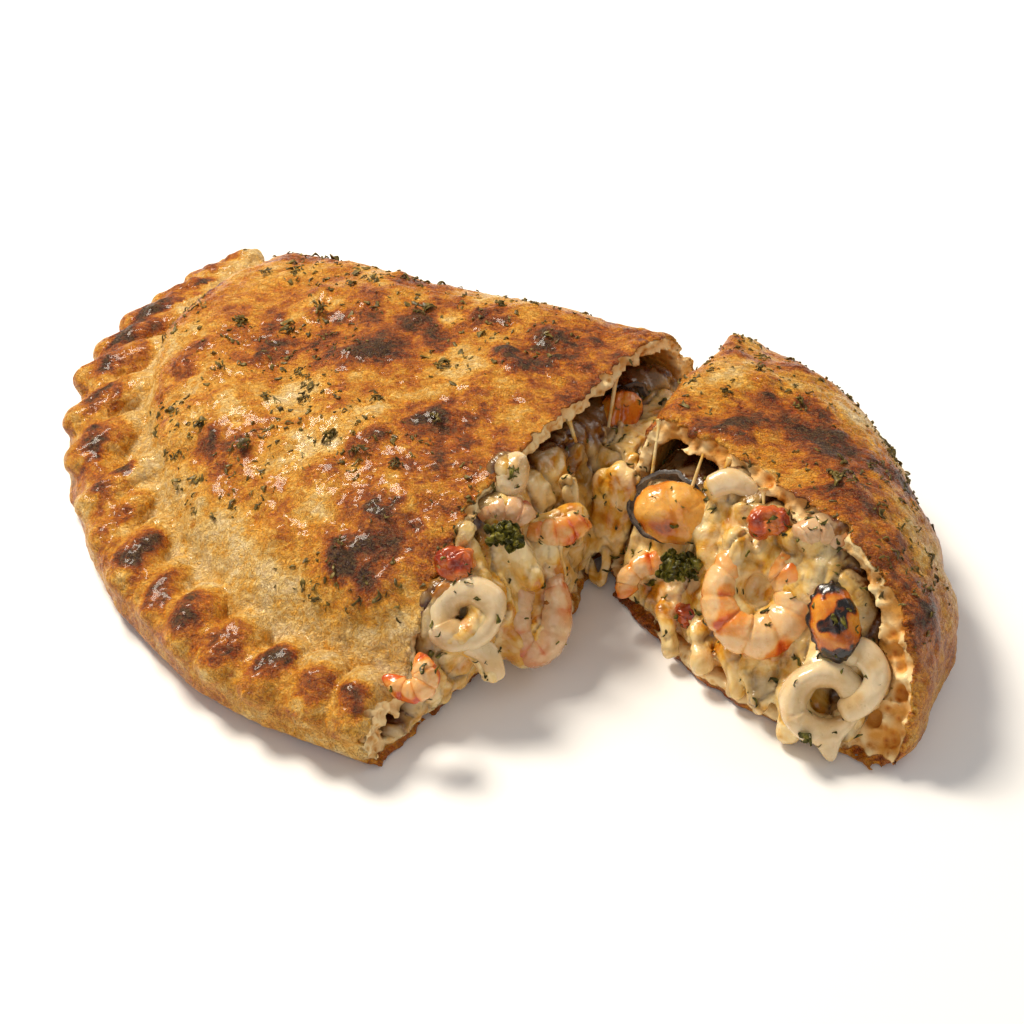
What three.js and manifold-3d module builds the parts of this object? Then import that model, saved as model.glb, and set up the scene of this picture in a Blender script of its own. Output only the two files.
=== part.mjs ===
// A baked seafood calzone, cut once from its fold to its crimped rim and swung open.
// The left piece and the smaller right piece are each close to a quarter of a round of dough, folded
// over a filling of melted cheese, prawns, squid and mussels. Melted cheese still joins the two.
// Units are millimetres, +Z is up, and the origin is under the middle of the whole.
import * as THREE from "three";
import { mergeVertices } from "three/addons/utils/BufferGeometryUtils.js";
import Module from "manifold-3d";

const wasm = await Module();
wasm.setup();
const { Manifold, CrossSection } = wasm;

// ---- driving dimensions ----

const GAP = 0.35; // clearance between pieces that touch
const SHRINK = 1.2; // clearance between a filling and the walls of its room

// Each piece of crust: corner is where its fold and its cut meet on the plan, cutTurn and foldTurn are the
// directions of those two edges seen from the corner, and rimRadii are the distances from the corner to the
// curved rim, at even steps of angle from the cut to the fold.
const LEFT_CRUST = {
  corner: [67, 30],
  cutTurn: 234.5,
  foldTurn: 153,
  rimRadii: [163.5, 178.5, 187.5, 190.5, 174],
  domeHeight: 50,
  domeDrop: 7, // how much lower the dome is at the far end than at the cut
  wallHeight: 9,
  rimHeight: 20,
  rimRise: 6, // how much higher the rim is where it nears the fold
  riseWidth: 72,
  riseSteepness: [1.7, 0.8],
  foldWidth: 44,
  foldSteepness: 0.42,
  crimpHeight: 7,
  crimpWidth: 19,
  crimpPitchFront: 21,
  crimpPitchBack: 13,
  pleatDepth: 0,
  centre: [-20, -5],
  crustThickness: 5.5,
  endThickness: 9,
  foldThickness: 8,
  baseThickness: 4,
};
const RIGHT_CRUST = {
  corner: [33, -33],
  cutTurn: -46,
  foldTurn: 61,
  rimRadii: [98, 94.2, 88, 90, 91],
  domeHeight: 51.5,
  domeDrop: 2,
  wallHeight: 9,
  rimHeight: 17,
  rimRise: 0,
  riseWidth: 50,
  riseSteepness: [2.2, 0.6],
  foldWidth: 14,
  foldSteepness: 0.3,
  crimpHeight: 0,
  crimpWidth: 0,
  crimpPitchFront: 16,
  crimpPitchBack: 16,
  pleatDepth: 1.2,
  centre: [80, -28],
  crustThickness: 6,
  endThickness: 16,
  foldThickness: 5,
  baseThickness: 4,
};
const BASE_INSET = 4.5; // how far the round bottom edge stands in from the widest line
const PAST_CUT = 24; // how far a piece is first made past its cut

// The cut faces: the angle that each leans back, and how far its bottom crust sticks out.
const LEFT_CUT = { lean: 12, lip: 8, lipAt: 74, lipWidth: 18 };
const RIGHT_CUT = { lean: 20, lip: 9, lipAt: 47, lipWidth: 34 };
const LIP_HEIGHT = 16;

// What lies in the filling faces the open side, tipped up by this angle. Each piece has its middle (at), its
// turn in that plane (spin) and its tips out of it (lean, turn), in degrees.
const FACING = 50;

// Prawns: the half sizes of the curled middle line, the half thickness at the neck, how thin the tail gets
// as a share of that, and the angles that the curl runs between.
const PRAWNS = {
  prawn_curled_right: { at: [69, -66.8, 27.4], curl: [9.7, 9.6], thick: 6.4, tail: 0.66, from: 72, to: -262 },
  prawn_low_right: { at: [45.8, -47.3, 12.8], curl: [8, 6], thick: 4.2, tail: 0.7, from: -20, to: 205, lean: -10 },
  prawn_top_right: { at: [82.6, -65.6, 40.6], curl: [6, 5.4], thick: 4.1, tail: 0.75, from: 140, to: -70, turn: 20 },
  prawn_hanging_left: { at: [13.5, -60.3, 15.6], curl: [4.8, 9.8], thick: 4.5, tail: 0.9, from: 70, to: -262, spin: -6 },
  prawn_upper_left: { at: [16.5, -38.6, 39.8], curl: [11.5, 11.5], thick: 4, tail: 0.9, from: -38, to: -128 },
  prawn_middle_left: { at: [4.4, -49.5, 36.4], curl: [6.5, 4], thick: 3.7, tail: 0.85, from: 10, to: 165 },
  prawn_low_left: { at: [-18, -89.6, 21.6], curl: [3.6, 3.2], thick: 3.7, tail: 0.8, from: 80, to: -190 },
};

// Squid rings: the half sizes of the middle line and of the flesh. Squid strips: a path from the middle.
const SQUID_RINGS = {
  squid_ring_right: { at: [83.9, -90.8, 14], hoop: [7.9, 7.6], flesh: [2.9, 3.5], spin: 20, lean: 8 },
  squid_ring_left: { at: [-5.5, -73.6, 28], hoop: [8.2, 6.2], flesh: [2.7, 3.1], spin: 25, lean: -6 },
};
const SQUID_STRIPS = {
  squid_strip_right: { at: [95.5, -91.5, 21.5], path: [[-1, 6, -2], [2.4, 2.5, 0], [2, -3, 1], [-3, -8.5, 1]], flesh: [3, 2.4] },
  squid_strip_left: { at: [-2.5, -75.8, 18.5], path: [[-9, 6, -1], [-3, 1.5, 3], [3.2, -1.5, 4], [6, -8.5, 3]], flesh: [2.7, 2.2] },
  squid_top_right: { at: [63.5, -44.3, 41.5], path: [[-6, 2, 0], [0, 4, 1], [5, 1, 1], [6, -5, 0]], flesh: [3.2, 3] },
};

// Plump pieces: half sizes, and how uneven each is.
const LUMPS = {
  squid_top_left: { at: [7, -41, 46], half: [4.4, 6.2, 4.5], uneven: 0.08, spin: -20 },
  squid_lump_left: { at: [18.4, -37.8, 24.6], half: [5.6, 5.2, 4.5], uneven: 0.1 },
  tomato_left: { at: [-6.8, -65, 36.6], half: [4.4, 3.9, 3.2], uneven: 0.16, square: true, spin: 20 },
  tomato_low_right: { at: [53.2, -57.8, 12.4], half: [3.5, 3, 2.8], uneven: 0.16, square: true, spin: 30 },
  tomato_top_right: { at: [72, -57, 43.4], half: [4.8, 3.6, 3.2], uneven: 0.16, square: true, spin: 10 },
};

// Mussels: the half sizes of the meat, and where its half shell lies from its middle.
const SHELL_WALL = 1.3;
const MUSSELS = {
  top_right: { at: [49.2, -40.3, 32.6], meat: [10.4, 8.2, 6], spin: -12, shell: [-4.5, -1.5, -2.5], tip: -38 },
  side_right: { at: [86.6, -79.2, 30.2], meat: [6.6, 10, 5.4], spin: 8, shell: [3.4, 0, -2.4], tip: 36 },
  back_left: { at: [37, 4.5, 31], meat: [6, 8, 5], spin: -25, shell: [3, 2, -3], tip: 30 },
};

// Clumps of herb leaves, each of three thin wavy leaves.
const HERB_CLUMPS = {
  herbs_left: { at: [5.6, -56.6, 39.4], leaf: [9.5, 6.5], seed: 3 },
  herbs_right: { at: [50.2, -52.3, 24.8], leaf: [13, 7.5], seed: 8 },
};
const LEAF_THICKNESS = 0.8;
const SMOOTHED = 0.3; // faces that lie this close to a common plane are joined

// Threads of melted cheese from the filling to the crust above, and drips over the bottom crust, as paths.
const THREADS_RIGHT = [
  { path: [[44.6, -20.8, 46], [44.6, -25, 41], [44, -29, 34]], thick: 0.9 },
  { path: [[56.5, -30.8, 48], [55, -34.5, 43], [53.5, -37.5, 36]], thick: 0.9 },
  { path: [[62.5, -37.6, 47], [58.5, -42, 39], [53, -48, 25]], thick: 0.8 },
  { path: [[71, -47, 46.6], [71, -51, 43], [70.6, -54, 38]], thick: 0.9 },
];
const THREADS_LEFT = [
  { path: [[24.5, -16.5, 43], [25, -16.5, 36], [26, -16.5, 26]], thick: 1.2 },
  { path: [[38.5, 2.5, 44], [35.5, -1, 38], [33, -4.5, 26]], thick: 1.1 },
];
const DRIPS_RIGHT = [
  { path: [[62, -71, 12], [63.6, -77.6, 8.5], [64, -79.4, 4.5]], thick: 2 },
  { path: [[74, -84, 12], [76, -90.6, 8], [76.6, -92.6, 2.8]], thick: 2.2 },
  { path: [[47, -56, 12], [48.2, -62.6, 8], [48.6, -64.4, 4]], thick: 1.8 },
];
// The melted cheese between the pieces: its plan, how its top climbs from its front, and what hangs from it.
const BRIDGE = {
  plan: [[27, -25], [24, -14], [36, 2], [46, 16], [60, 18], [50, -4], [40, -26], [34, -29]],
  front: [31, -27],
  heights: [13, 32],
  climb: 15,
  under: [8, 3],
  sheet: { at: [34.6, -27.6, 21], half: [4.6, 17, 3.2], spin: -14 },
  thread: { path: [[27.5, -27, 11], [28.5, -31, 4], [31.5, -34.5, 3.5], [33.2, -32, 11]], thick: 0.8 },
};
const FLAKES_LEFT = 22;
const FLAKES_RIGHT = 10;

const DEG = Math.PI / 180;
const clamp = (x) => Math.min(1, Math.max(0, x));
const mix = (a, b, t) => a + (b - a) * t;
const ease = (a, b, x) => {
  const t = clamp((x - a) / (b - a));
  return t * t * (3 - 2 * t);
};
const softMin = (a, b, k) => {
  const h = clamp(0.5 + (0.5 * (b - a)) / k);
  return mix(b, a, h) - k * h * (1 - h);
};
const direction = (degrees) => [Math.cos(degrees * DEG), Math.sin(degrees * DEG)];

// Smooth unevenness between about -1 and 1, the same at each run.
function ripple(x, y, size) {
  const u = (x * 2 * Math.PI) / size;
  const v = (y * 2 * Math.PI) / size;
  return (
    0.4 * Math.sin(u + 0.6 * Math.sin(0.83 * v + 1.3)) +
    0.35 * Math.sin(0.94 * v + 0.8 * Math.sin(0.71 * u) + 2.1) +
    0.25 * Math.sin(0.67 * u - 1.21 * v + 0.7)
  );
}

// A fixed scatter of numbers from 0 to 1.
const scatter = (i, k) => {
  const x = Math.sin(i * 127.1 + k * 311.7) * 43758.5453;
  return x - Math.floor(x);
};

// The value at t, from 0 to 1, of a smooth curve through evenly spaced values.
function through(values, t) {
  const last = values.length - 1;
  const x = clamp(t) * last;
  const i = Math.min(last - 1, Math.floor(x));
  const f = x - i;
  const at = (k) => values[Math.min(last, Math.max(0, k))];
  const [p, q, r, s] = [at(i - 1), at(i), at(i + 1), at(i + 2)];
  return q + 0.5 * f * (r - p + f * (2 * p - 5 * q + 4 * r - s + f * (3 * (q - r) + s - p)));
}

// ---- meshes and solids ----

// A closed surface over rings of equal length, between two end points.
function ringBody(bottom, rings, top) {
  const n = rings[0].length;
  const points = [bottom, ...rings.flat(), top];
  const faces = [];
  const at = (ring, i) => 1 + ring * n + (i % n);
  for (let i = 0; i < n; i++) {
    faces.push(0, at(0, i + 1), at(0, i));
    for (let r = 0; r + 1 < rings.length; r++) {
      faces.push(at(r, i), at(r, i + 1), at(r + 1, i + 1));
      faces.push(at(r, i), at(r + 1, i + 1), at(r + 1, i));
    }
    faces.push(points.length - 1, at(rings.length - 1, i), at(rings.length - 1, i + 1));
  }
  return solidOf(geometryOf(points.flat(), faces));
}

// A body under a height field over a box on the plan.
function hillBody(height, [x0, y0, x1, y1], pitch) {
  const columns = Math.ceil((x1 - x0) / pitch);
  const rows = Math.ceil((y1 - y0) / pitch);
  const points = [];
  const faces = [];
  for (const top of [false, true])
    for (let r = 0; r <= rows; r++)
      for (let c = 0; c <= columns; c++) {
        const [x, y] = [mix(x0, x1, c / columns), mix(y0, y1, r / rows)];
        points.push(x, y, top ? height(x, y) : -10);
      }
  const at = (top, r, c) => (top * (rows + 1) + r) * (columns + 1) + c;
  const quad = (a, b, c, d) => faces.push(a, b, c, a, c, d);
  for (let r = 0; r < rows; r++)
    for (let c = 0; c < columns; c++) {
      quad(at(1, r, c), at(1, r, c + 1), at(1, r + 1, c + 1), at(1, r + 1, c));
      quad(at(0, r, c), at(0, r + 1, c), at(0, r + 1, c + 1), at(0, r, c + 1));
    }
  for (let c = 0; c < columns; c++) {
    quad(at(0, 0, c), at(0, 0, c + 1), at(1, 0, c + 1), at(1, 0, c));
    quad(at(0, rows, c), at(1, rows, c), at(1, rows, c + 1), at(0, rows, c + 1));
  }
  for (let r = 0; r < rows; r++) {
    quad(at(0, r, 0), at(1, r, 0), at(1, r + 1, 0), at(0, r + 1, 0));
    quad(at(0, r, columns), at(0, r + 1, columns), at(1, r + 1, columns), at(1, r, columns));
  }
  return solidOf(geometryOf(points, faces));
}

function geometryOf(numbers, faces) {
  const geometry = new THREE.BufferGeometry();
  geometry.setAttribute("position", new THREE.BufferAttribute(new Float32Array(numbers), 3));
  geometry.setIndex(new THREE.BufferAttribute(new Uint32Array(faces), 1));
  return geometry;
}

function solidOf(source) {
  const bare = source.clone();
  bare.deleteAttribute("normal");
  bare.deleteAttribute("uv");
  const merged = mergeVertices(bare, 1e-3);
  const vertProperties = merged.attributes.position.array;
  const triVerts = new Uint32Array(merged.index.array);
  const made = new Manifold(new wasm.Mesh({ numProp: 3, vertProperties, triVerts }));
  if (made.volume() > 0) return made;
  triVerts.reverse();
  return new Manifold(new wasm.Mesh({ numProp: 3, vertProperties, triVerts }));
}

// The positions and faces of a solid.
function meshOf(solid) {
  const mesh = solid.getMesh();
  const points = [];
  for (let i = 0; i < mesh.numVert; i++) {
    const at = i * mesh.numProp;
    points.push(new THREE.Vector3(...mesh.vertProperties.subarray(at, at + 3)));
  }
  return { points, faces: Array.from(mesh.triVerts) };
}

// The solid with its surface moved outwards by a distance.
function grown(solid, distance) {
  const { points, faces } = meshOf(solid);
  const normals = points.map(() => new THREE.Vector3());
  for (let i = 0; i < faces.length; i += 3) {
    const [a, b, c] = faces.slice(i, i + 3);
    const ab = points[b].clone().sub(points[a]);
    const ac = points[c].clone().sub(points[a]);
    const normal = ab.cross(ac);
    for (const k of [a, b, c]) normals[k].add(normal);
  }
  const numbers = points.flatMap((p, i) => {
    const moved = p.clone().addScaledVector(normals[i].normalize(), distance);
    return [moved.x, moved.y, moved.z];
  });
  return solidOf(geometryOf(numbers, faces));
}

const largest = (solid) =>
  solid.decompose().reduce((best, s) => (s.volume() > best.volume() ? s : best));

// ---- the crust ----

// One piece of crust: the height of its top at any place, its plan outline and its solids.
class Crust {
  constructor(size, cut) {
    this.size = size;
    this.cutDirection = direction(size.cutTurn);
    this.foldDirection = direction(size.foldTurn);
    this.sense = Math.sign(size.foldTurn - size.cutTurn);
    this.foldNormal = [this.foldDirection[1] * this.sense, -this.foldDirection[0] * this.sense];
    this.cutLength = size.rimRadii[0];
    this.cut = cut;
  }

  // Where a place lies: its angle from the cut to the fold as 0 to 1, and its distance from rim, fold and cut.
  place(x, y) {
    const { corner, cutTurn, foldTurn, rimRadii } = this.size;
    const [px, py] = [x - corner[0], y - corner[1]];
    const middle = (cutTurn + foldTurn) / 2;
    let turn = Math.atan2(py, px) / DEG;
    turn += 360 * Math.round((middle - turn) / 360);
    const share = (turn - cutTurn) / (foldTurn - cutTurn);
    const rim = through(rimRadii, share) - Math.hypot(px, py);
    const fold = px * this.foldNormal[0] + py * this.foldNormal[1];
    const cut = Math.abs(px * this.cutDirection[1] - py * this.cutDirection[0]);
    return { share, rim, fold, cut };
  }

  // How far up a crimp's ridge a place on the rim is, from 0 in a groove to 1.
  crimp(share, rim) {
    const { crimpPitchFront: front, crimpPitchBack: back, rimRadii } = this.size;
    const length = 0.5 * (rimRadii[0] + rimRadii[2]) * Math.abs(this.size.foldTurn - this.size.cutTurn) * DEG;
    const slope = (front - back) / length;
    const along = length * clamp(share) - (rim - 9) * mix(0.35, 0.85, ease(0.1, 0.5, share));
    const turns = slope ? Math.log(front / (front - slope * along)) / slope : along / front;
    const index = Math.floor(turns);
    const f = turns - index;
    const size = mix(0.72, 1.08, scatter(index, 1));
    return size * Math.pow(Math.sin(Math.PI * Math.pow(f, 0.85)), 0.75);
  }

  // The height of the crust's top.
  top(x, y, plain = false) {
    const { domeHeight, domeDrop, rimRise, riseWidth, foldWidth, foldSteepness } = this.size;
    const { crimpHeight, crimpWidth, wallHeight, pleatDepth, crimpPitchFront } = this.size;
    const [bend, steep] = this.size.riseSteepness;
    const { share, rim, fold, cut } = this.place(x, y);
    const rimHeight = this.size.rimHeight + rimRise * ease(0.4, 0.85, share);
    const dome = domeHeight - domeDrop * ease(10, 130, cut) + 1.3 * ripple(x, y, 46);
    const fadeAtFold = ease(1.02, 0.88, share);
    const crimped = crimpHeight && !plain;
    const crimp = crimped ? this.crimp(share, rim) * fadeAtFold : 0;
    const shoulder = Math.pow(clamp(rim / 9), 0.5);
    const inner = crimpWidth + (crimped ? 2.6 * (crimp - 0.5) : 0);
    const ridge = crimpHeight * crimp * ease(0, 7, rim) * (1 - ease(inner - 3, inner + 1.2, rim));
    const bank = crimped ? 3.5 * (1 - ease(inner - 3, inner + 1, rim)) * ease(0, 6, rim) * fadeAtFold : 0;
    const rise = Math.pow(1 - Math.pow(1 - clamp((rim - crimpWidth * 0.9) / riseWidth), bend), steep);
    const start = mix(wallHeight, rimHeight - 3.5, shoulder);
    const pleat = (plain ? 0 : pleatDepth) * Math.sin((share * 2 * Math.PI * 90) / crimpPitchFront) * ease(2, 8, rim) * ease(34, 12, rim);
    const fromRim = mix(start, dome, rise) + ridge + bank + pleat;
    const up = Math.pow(1 - Math.pow(1 - clamp(fold / foldWidth), 3.2), foldSteepness);
    const fromFold = mix(wallHeight, dome + 2, up);
    return softMin(fromRim, fromFold, 9);
  }

  // The outline's control places, each [x, y, kind] with kind rim, fold or past.
  outline() {
    const { corner, cutTurn, foldTurn, rimRadii } = this.size;
    const out = [this.cutDirection[1] * this.sense, -this.cutDirection[0] * this.sense];
    const polar = (share, radius) => {
      const [c, s] = direction(mix(cutTurn, foldTurn, share));
      return [corner[0] + radius * c, corner[1] + radius * s];
    };
    const past = (along) => [
      corner[0] + along * this.cutDirection[0] + PAST_CUT * out[0],
      corner[1] + along * this.cutDirection[1] + PAST_CUT * out[1],
    ];
    const places = [];
    const overrun = PAST_CUT / this.cutLength;
    const steps = 8;
    for (let i = 0; i < steps; i++) {
      const share = mix(-overrun / 1.4, 0.96, i / (steps - 1));
      places.push([...polar(share, through(rimRadii, share)), "rim"]);
    }
    const foldLength = rimRadii.at(-1);
    for (const along of [0.9, 0.6, 0.3, 0.04]) {
      const bow = 3 * Math.sin(Math.PI * along);
      const [x, y] = [
        corner[0] + along * foldLength * this.foldDirection[0] - bow * this.foldNormal[0],
        corner[1] + along * foldLength * this.foldDirection[1] - bow * this.foldNormal[1],
      ];
      places.push([x, y, "fold"]);
    }
    places.push([...past(-6), "past"]);
    places.push([...past(this.cutLength * 0.5), "past"]);
    return places;
  }

  // Stations round the outline, each with its place and the direction inwards.
  stations(onRim, onFold, onPast) {
    const places = this.outline();
    const { corner, centre } = this.size;
    const inward = ([x, y, kind]) => {
      if (kind === "fold") return this.foldNormal;
      const [tx, ty] = kind === "rim" ? corner : centre;
      const length = Math.hypot(tx - x, ty - y);
      return [(tx - x) / length, (ty - y) / length];
    };
    const count = { rim: onRim, fold: onFold, past: onPast };
    const walls = { rim: this.size.endThickness, fold: this.size.foldThickness, past: 3 };
    const found = [];
    const n = places.length;
    places.forEach((here, i) => {
      const four = [places[(i + n - 1) % n], here, places[(i + 1) % n], places[(i + 2) % n]];
      const steps = Math.max(1, Math.round(count[here[2]]));
      for (let k = 0; k < steps; k++) {
        const f = k / steps;
        const spline = (axis) => {
          const [p, q, r, s] = four.map((v) => v[axis]);
          return q + 0.5 * f * (r - p + f * (2 * p - 5 * q + 4 * r - s + f * (3 * (q - r) + s - p)));
        };
        const [a, b] = [inward(four[1]), inward(four[2])];
        const dx = mix(a[0], b[0], f);
        const dy = mix(a[1], b[1], f);
        const length = Math.hypot(dx, dy);
        const wall = mix(walls[four[1][2]], walls[four[2][2]], f);
        found.push({ x: spline(0), y: spline(1), dx: dx / length, dy: dy / length, wall });
      }
    });
    return found;
  }

  // The whole outside, made past the cut, with its underside flat on the table.
  outside() {
    const { centre, wallHeight, crimpWidth, crimpHeight } = this.size;
    const stations = this.stations(crimpHeight ? 7 : 4, 2, 2);
    const insets = crimpHeight
      ? [0.8, 4.5, 10, crimpWidth - 3.4, crimpWidth + 0.4, 26]
      : [0.8, 3, 7, 13, 21];
    const level = (inset, z) => stations.map(({ x, y, dx, dy }) => [x + dx * inset, y + dy * inset, z]);
    const rings = [level(BASE_INSET, 0), level(BASE_INSET * 0.3, wallHeight * 0.16), level(0, wallHeight * 0.55)];
    for (const inset of insets) {
      rings.push(
        stations.map(({ x, y, dx, dy }) => {
          const scallop = inset > 14 && inset < 22 && crimpHeight ? this.scallop(x + dx * inset, y + dy * inset) : 0;
          const [px, py] = [x + dx * (inset + scallop), y + dy * (inset + scallop)];
          return [px, py, Math.max(wallHeight, this.top(px, py))];
        }),
      );
    }
    const deepest = rings.at(-1);
    for (const share of [0.16, 0.36, 0.58, 0.8]) {
      rings.push(
        deepest.map(([x, y]) => {
          const [px, py] = [mix(x, centre[0], share), mix(y, centre[1], share)];
          return [px, py, this.top(px, py)];
        }),
      );
    }
    return ringBody([...centre, 0], rings, [...centre, this.top(...centre)]);
  }

  // How far a crimp's inner end reaches in past the others.
  scallop(x, y) {
    const { share, rim } = this.place(x, y);
    return 2.6 * (this.crimp(share, rim) - 0.5) * ease(1.02, 0.88, share);
  }

  // The room inside for the filling, shrunk by a gap; its roof hangs lower where the filling has sunk.
  inside(gap, sunk = () => 0) {
    const { crustThickness, baseThickness } = this.size;
    const line = this.stations(4, 3, 3).map(({ x, y, dx, dy, wall }) => [x + dx * (wall + gap), y + dy * (wall + gap)]);
    const low = baseThickness + gap;
    const roof = (x, y) => Math.max(low + 2, this.top(x, y, true) - crustThickness - gap - sunk(x, y));
    const room = new CrossSection([line], "NonZero").extrude(90).translate([0, 0, low]);
    const xs = line.map((v) => v[0]);
    const ys = line.map((v) => v[1]);
    const box = [Math.min(...xs) - 5, Math.min(...ys) - 5, Math.max(...xs) + 5, Math.max(...ys) + 5];
    return room.intersect(hillBody(roof, box, 15));
  }
}

// ---- the cut faces ----

// A cut face: places on it are (along, up, out), with along from the front of the left face and from the
// corner of the right one, up in the face, and out towards the open side.
class CutFace {
  constructor(origin, turn, lean, lip) {
    const [c, s] = direction(turn);
    this.origin = new THREE.Vector3(origin[0], origin[1], 0);
    this.along = new THREE.Vector3(c, s, 0);
    const back = new THREE.Vector3(-s, c, 0);
    this.up = new THREE.Vector3(0, 0, Math.cos(lean * DEG)).addScaledVector(back, Math.sin(lean * DEG));
    this.out = new THREE.Vector3().crossVectors(this.along, this.up);
    this.lip = lip;
  }

  at(along, up, out) {
    return this.origin
      .clone()
      .addScaledVector(this.along, along)
      .addScaledVector(this.up, up)
      .addScaledVector(this.out, out);
  }

  // How far the torn face stands out of its plane.
  relief(along, up) {
    const { lip, lipAt, lipWidth } = this.lip;
    const bulge = lip * Math.exp(-(((along - lipAt) / lipWidth) ** 2)) * Math.exp(-((up / LIP_HEIGHT) ** 2));
    return bulge + 0.9 * ripple(along, up * 1.7, 13);
  }

  // A block that holds all that lies past the face, which stands out by a relief.
  past(relief, columns, rows) {
    const [length, height, depth] = [230, 90, 90];
    const points = [];
    for (let side = 0; side < 2; side++)
      for (let r = 0; r <= rows; r++)
        for (let c = 0; c <= columns; c++) {
          const along = mix(-30, length - 30, c / columns);
          const up = mix(-15, height, r / rows);
          const p = this.at(along, up, side ? depth : relief(along, up));
          points.push(p.x, p.y, p.z);
        }
    const faces = [];
    const at = (side, r, c) => (side * (rows + 1) + r) * (columns + 1) + c;
    for (let r = 0; r < rows; r++)
      for (let c = 0; c < columns; c++) {
        faces.push(at(0, r, c), at(0, r, c + 1), at(0, r + 1, c + 1), at(0, r, c), at(0, r + 1, c + 1), at(0, r + 1, c));
        faces.push(at(1, r, c), at(1, r + 1, c + 1), at(1, r, c + 1), at(1, r, c), at(1, r + 1, c), at(1, r + 1, c + 1));
      }
    for (let c = 0; c < columns; c++) {
      faces.push(at(0, 0, c), at(1, 0, c), at(1, 0, c + 1), at(0, 0, c), at(1, 0, c + 1), at(0, 0, c + 1));
      faces.push(at(0, rows, c), at(1, rows, c + 1), at(1, rows, c), at(0, rows, c), at(0, rows, c + 1), at(1, rows, c + 1));
    }
    for (let r = 0; r < rows; r++) {
      faces.push(at(0, r, 0), at(1, r + 1, 0), at(1, r, 0), at(0, r, 0), at(0, r + 1, 0), at(1, r + 1, 0));
      faces.push(at(0, r, columns), at(1, r, columns), at(1, r + 1, columns), at(0, r, columns), at(1, r + 1, columns), at(0, r + 1, columns));
    }
    return solidOf(geometryOf(points, faces));
  }
}

// ---- what lies in the filling ----

// A closed surface round a path, with a half width and a half depth at each point; closed at its ends unless
// it is a hoop.
function tubeBody(path, widths, depths, sides, hoop = false) {
  const count = path.length;
  const rings = path.map((point, i) => {
    const before = path[hoop ? (i + count - 1) % count : Math.max(0, i - 1)];
    const after = path[hoop ? (i + 1) % count : Math.min(count - 1, i + 1)];
    const ahead = after.clone().sub(before).normalize();
    const side = new THREE.Vector3().crossVectors(ahead, new THREE.Vector3(0, 0, 1)).normalize();
    const upward = new THREE.Vector3().crossVectors(side, ahead);
    return Array.from({ length: sides }, (_, k) => {
      const [c, s] = direction((360 * k) / sides);
      const p = point.clone().addScaledVector(side, widths[i] * c).addScaledVector(upward, depths[i] * s);
      return [p.x, p.y, p.z];
    });
  });
  if (!hoop) return ringBody(path[0].toArray(), rings, path.at(-1).toArray());
  const faces = [];
  const at = (ring, k) => (ring % count) * sides + (k % sides);
  for (let i = 0; i < count; i++)
    for (let k = 0; k < sides; k++) {
      faces.push(at(i, k), at(i, k + 1), at(i + 1, k + 1), at(i, k), at(i + 1, k + 1), at(i + 1, k));
    }
  return solidOf(geometryOf(rings.flat(2), faces));
}

// Points along a smooth curve through a path.
function curve(path, count) {
  return Array.from({ length: count }, (_, i) => {
    const t = i / (count - 1);
    return new THREE.Vector3(...[0, 1, 2].map((axis) => through(path.map((p) => p[axis]), t)));
  });
}

// A piece moved from its own plane to where it lies.
function laid(solid, { at, spin = 0, lean = 0, turn = 0 }) {
  return solid.rotate([lean, 0, 0]).rotate([0, turn, 0]).rotate([0, 0, spin]).rotate([FACING, 0, 0]).translate(at);
}

// A peeled, curled prawn: plump at the neck, waisted between its segments, with a flat tail fan.
function prawn(spec) {
  const count = 15;
  const share = (i) => clamp((i - 1) / (count - 4));
  const path = Array.from({ length: count }, (_, i) => {
    const [c, s] = direction(mix(spec.from, spec.to, i / (count - 1)));
    return new THREE.Vector3(spec.curl[0] * c, spec.curl[1] * s, 1.4 * Math.sin(3 * share(i)));
  });
  const body = path.map((_, i) => {
    const t = share(i);
    const plump = mix(0.86, 1, ease(0, 0.22, t)) * mix(1, spec.tail, ease(0.35, 1, t));
    const end = i === 0 ? 0.45 : i === count - 1 ? 0.5 : 1;
    return spec.thick * plump * end * (1 + 0.05 * Math.sin(i * 2.2));
  });
  const fan = (i) => ease(count - 4, count - 1.5, i);
  const widths = body.map((w, i) => w * mix(1, 1.1, fan(i)));
  const depths = body.map((w, i) => w * mix(0.95, 0.4, fan(i)));
  return laid(tubeBody(path, widths, depths, 7), spec);
}

function squidRing(spec) {
  const count = 16;
  const path = Array.from({ length: count }, (_, i) => {
    const [c, s] = direction((360 * i) / count);
    return new THREE.Vector3(spec.hoop[0] * c, spec.hoop[1] * s, 0.9 * ripple(i, 0, 9));
  });
  const widths = path.map((_, i) => spec.flesh[0] * (1 + 0.1 * ripple(i, 3, 8)));
  const depths = path.map(() => spec.flesh[1]);
  return laid(tubeBody(path, widths, depths, 6, true), spec);
}

function squidStrip(spec) {
  const path = curve(spec.path, 9);
  const taper = path.map((_, i) => 0.55 + 0.45 * Math.sin((Math.PI * (i + 0.9)) / 9.8) ** 0.5);
  return laid(tubeBody(path, taper.map((t) => t * spec.flesh[0]), taper.map((t) => t * spec.flesh[1]), 7), spec);
}

// A strand of melted cheese, thicker at both ends.
function strand({ path, thick }) {
  const points = curve(path, 4);
  const widths = points.map((_, i) => thick * (1 + 0.9 * Math.abs(i / 1.5 - 1) ** 2));
  return tubeBody(points, widths, widths, 5);
}

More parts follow.
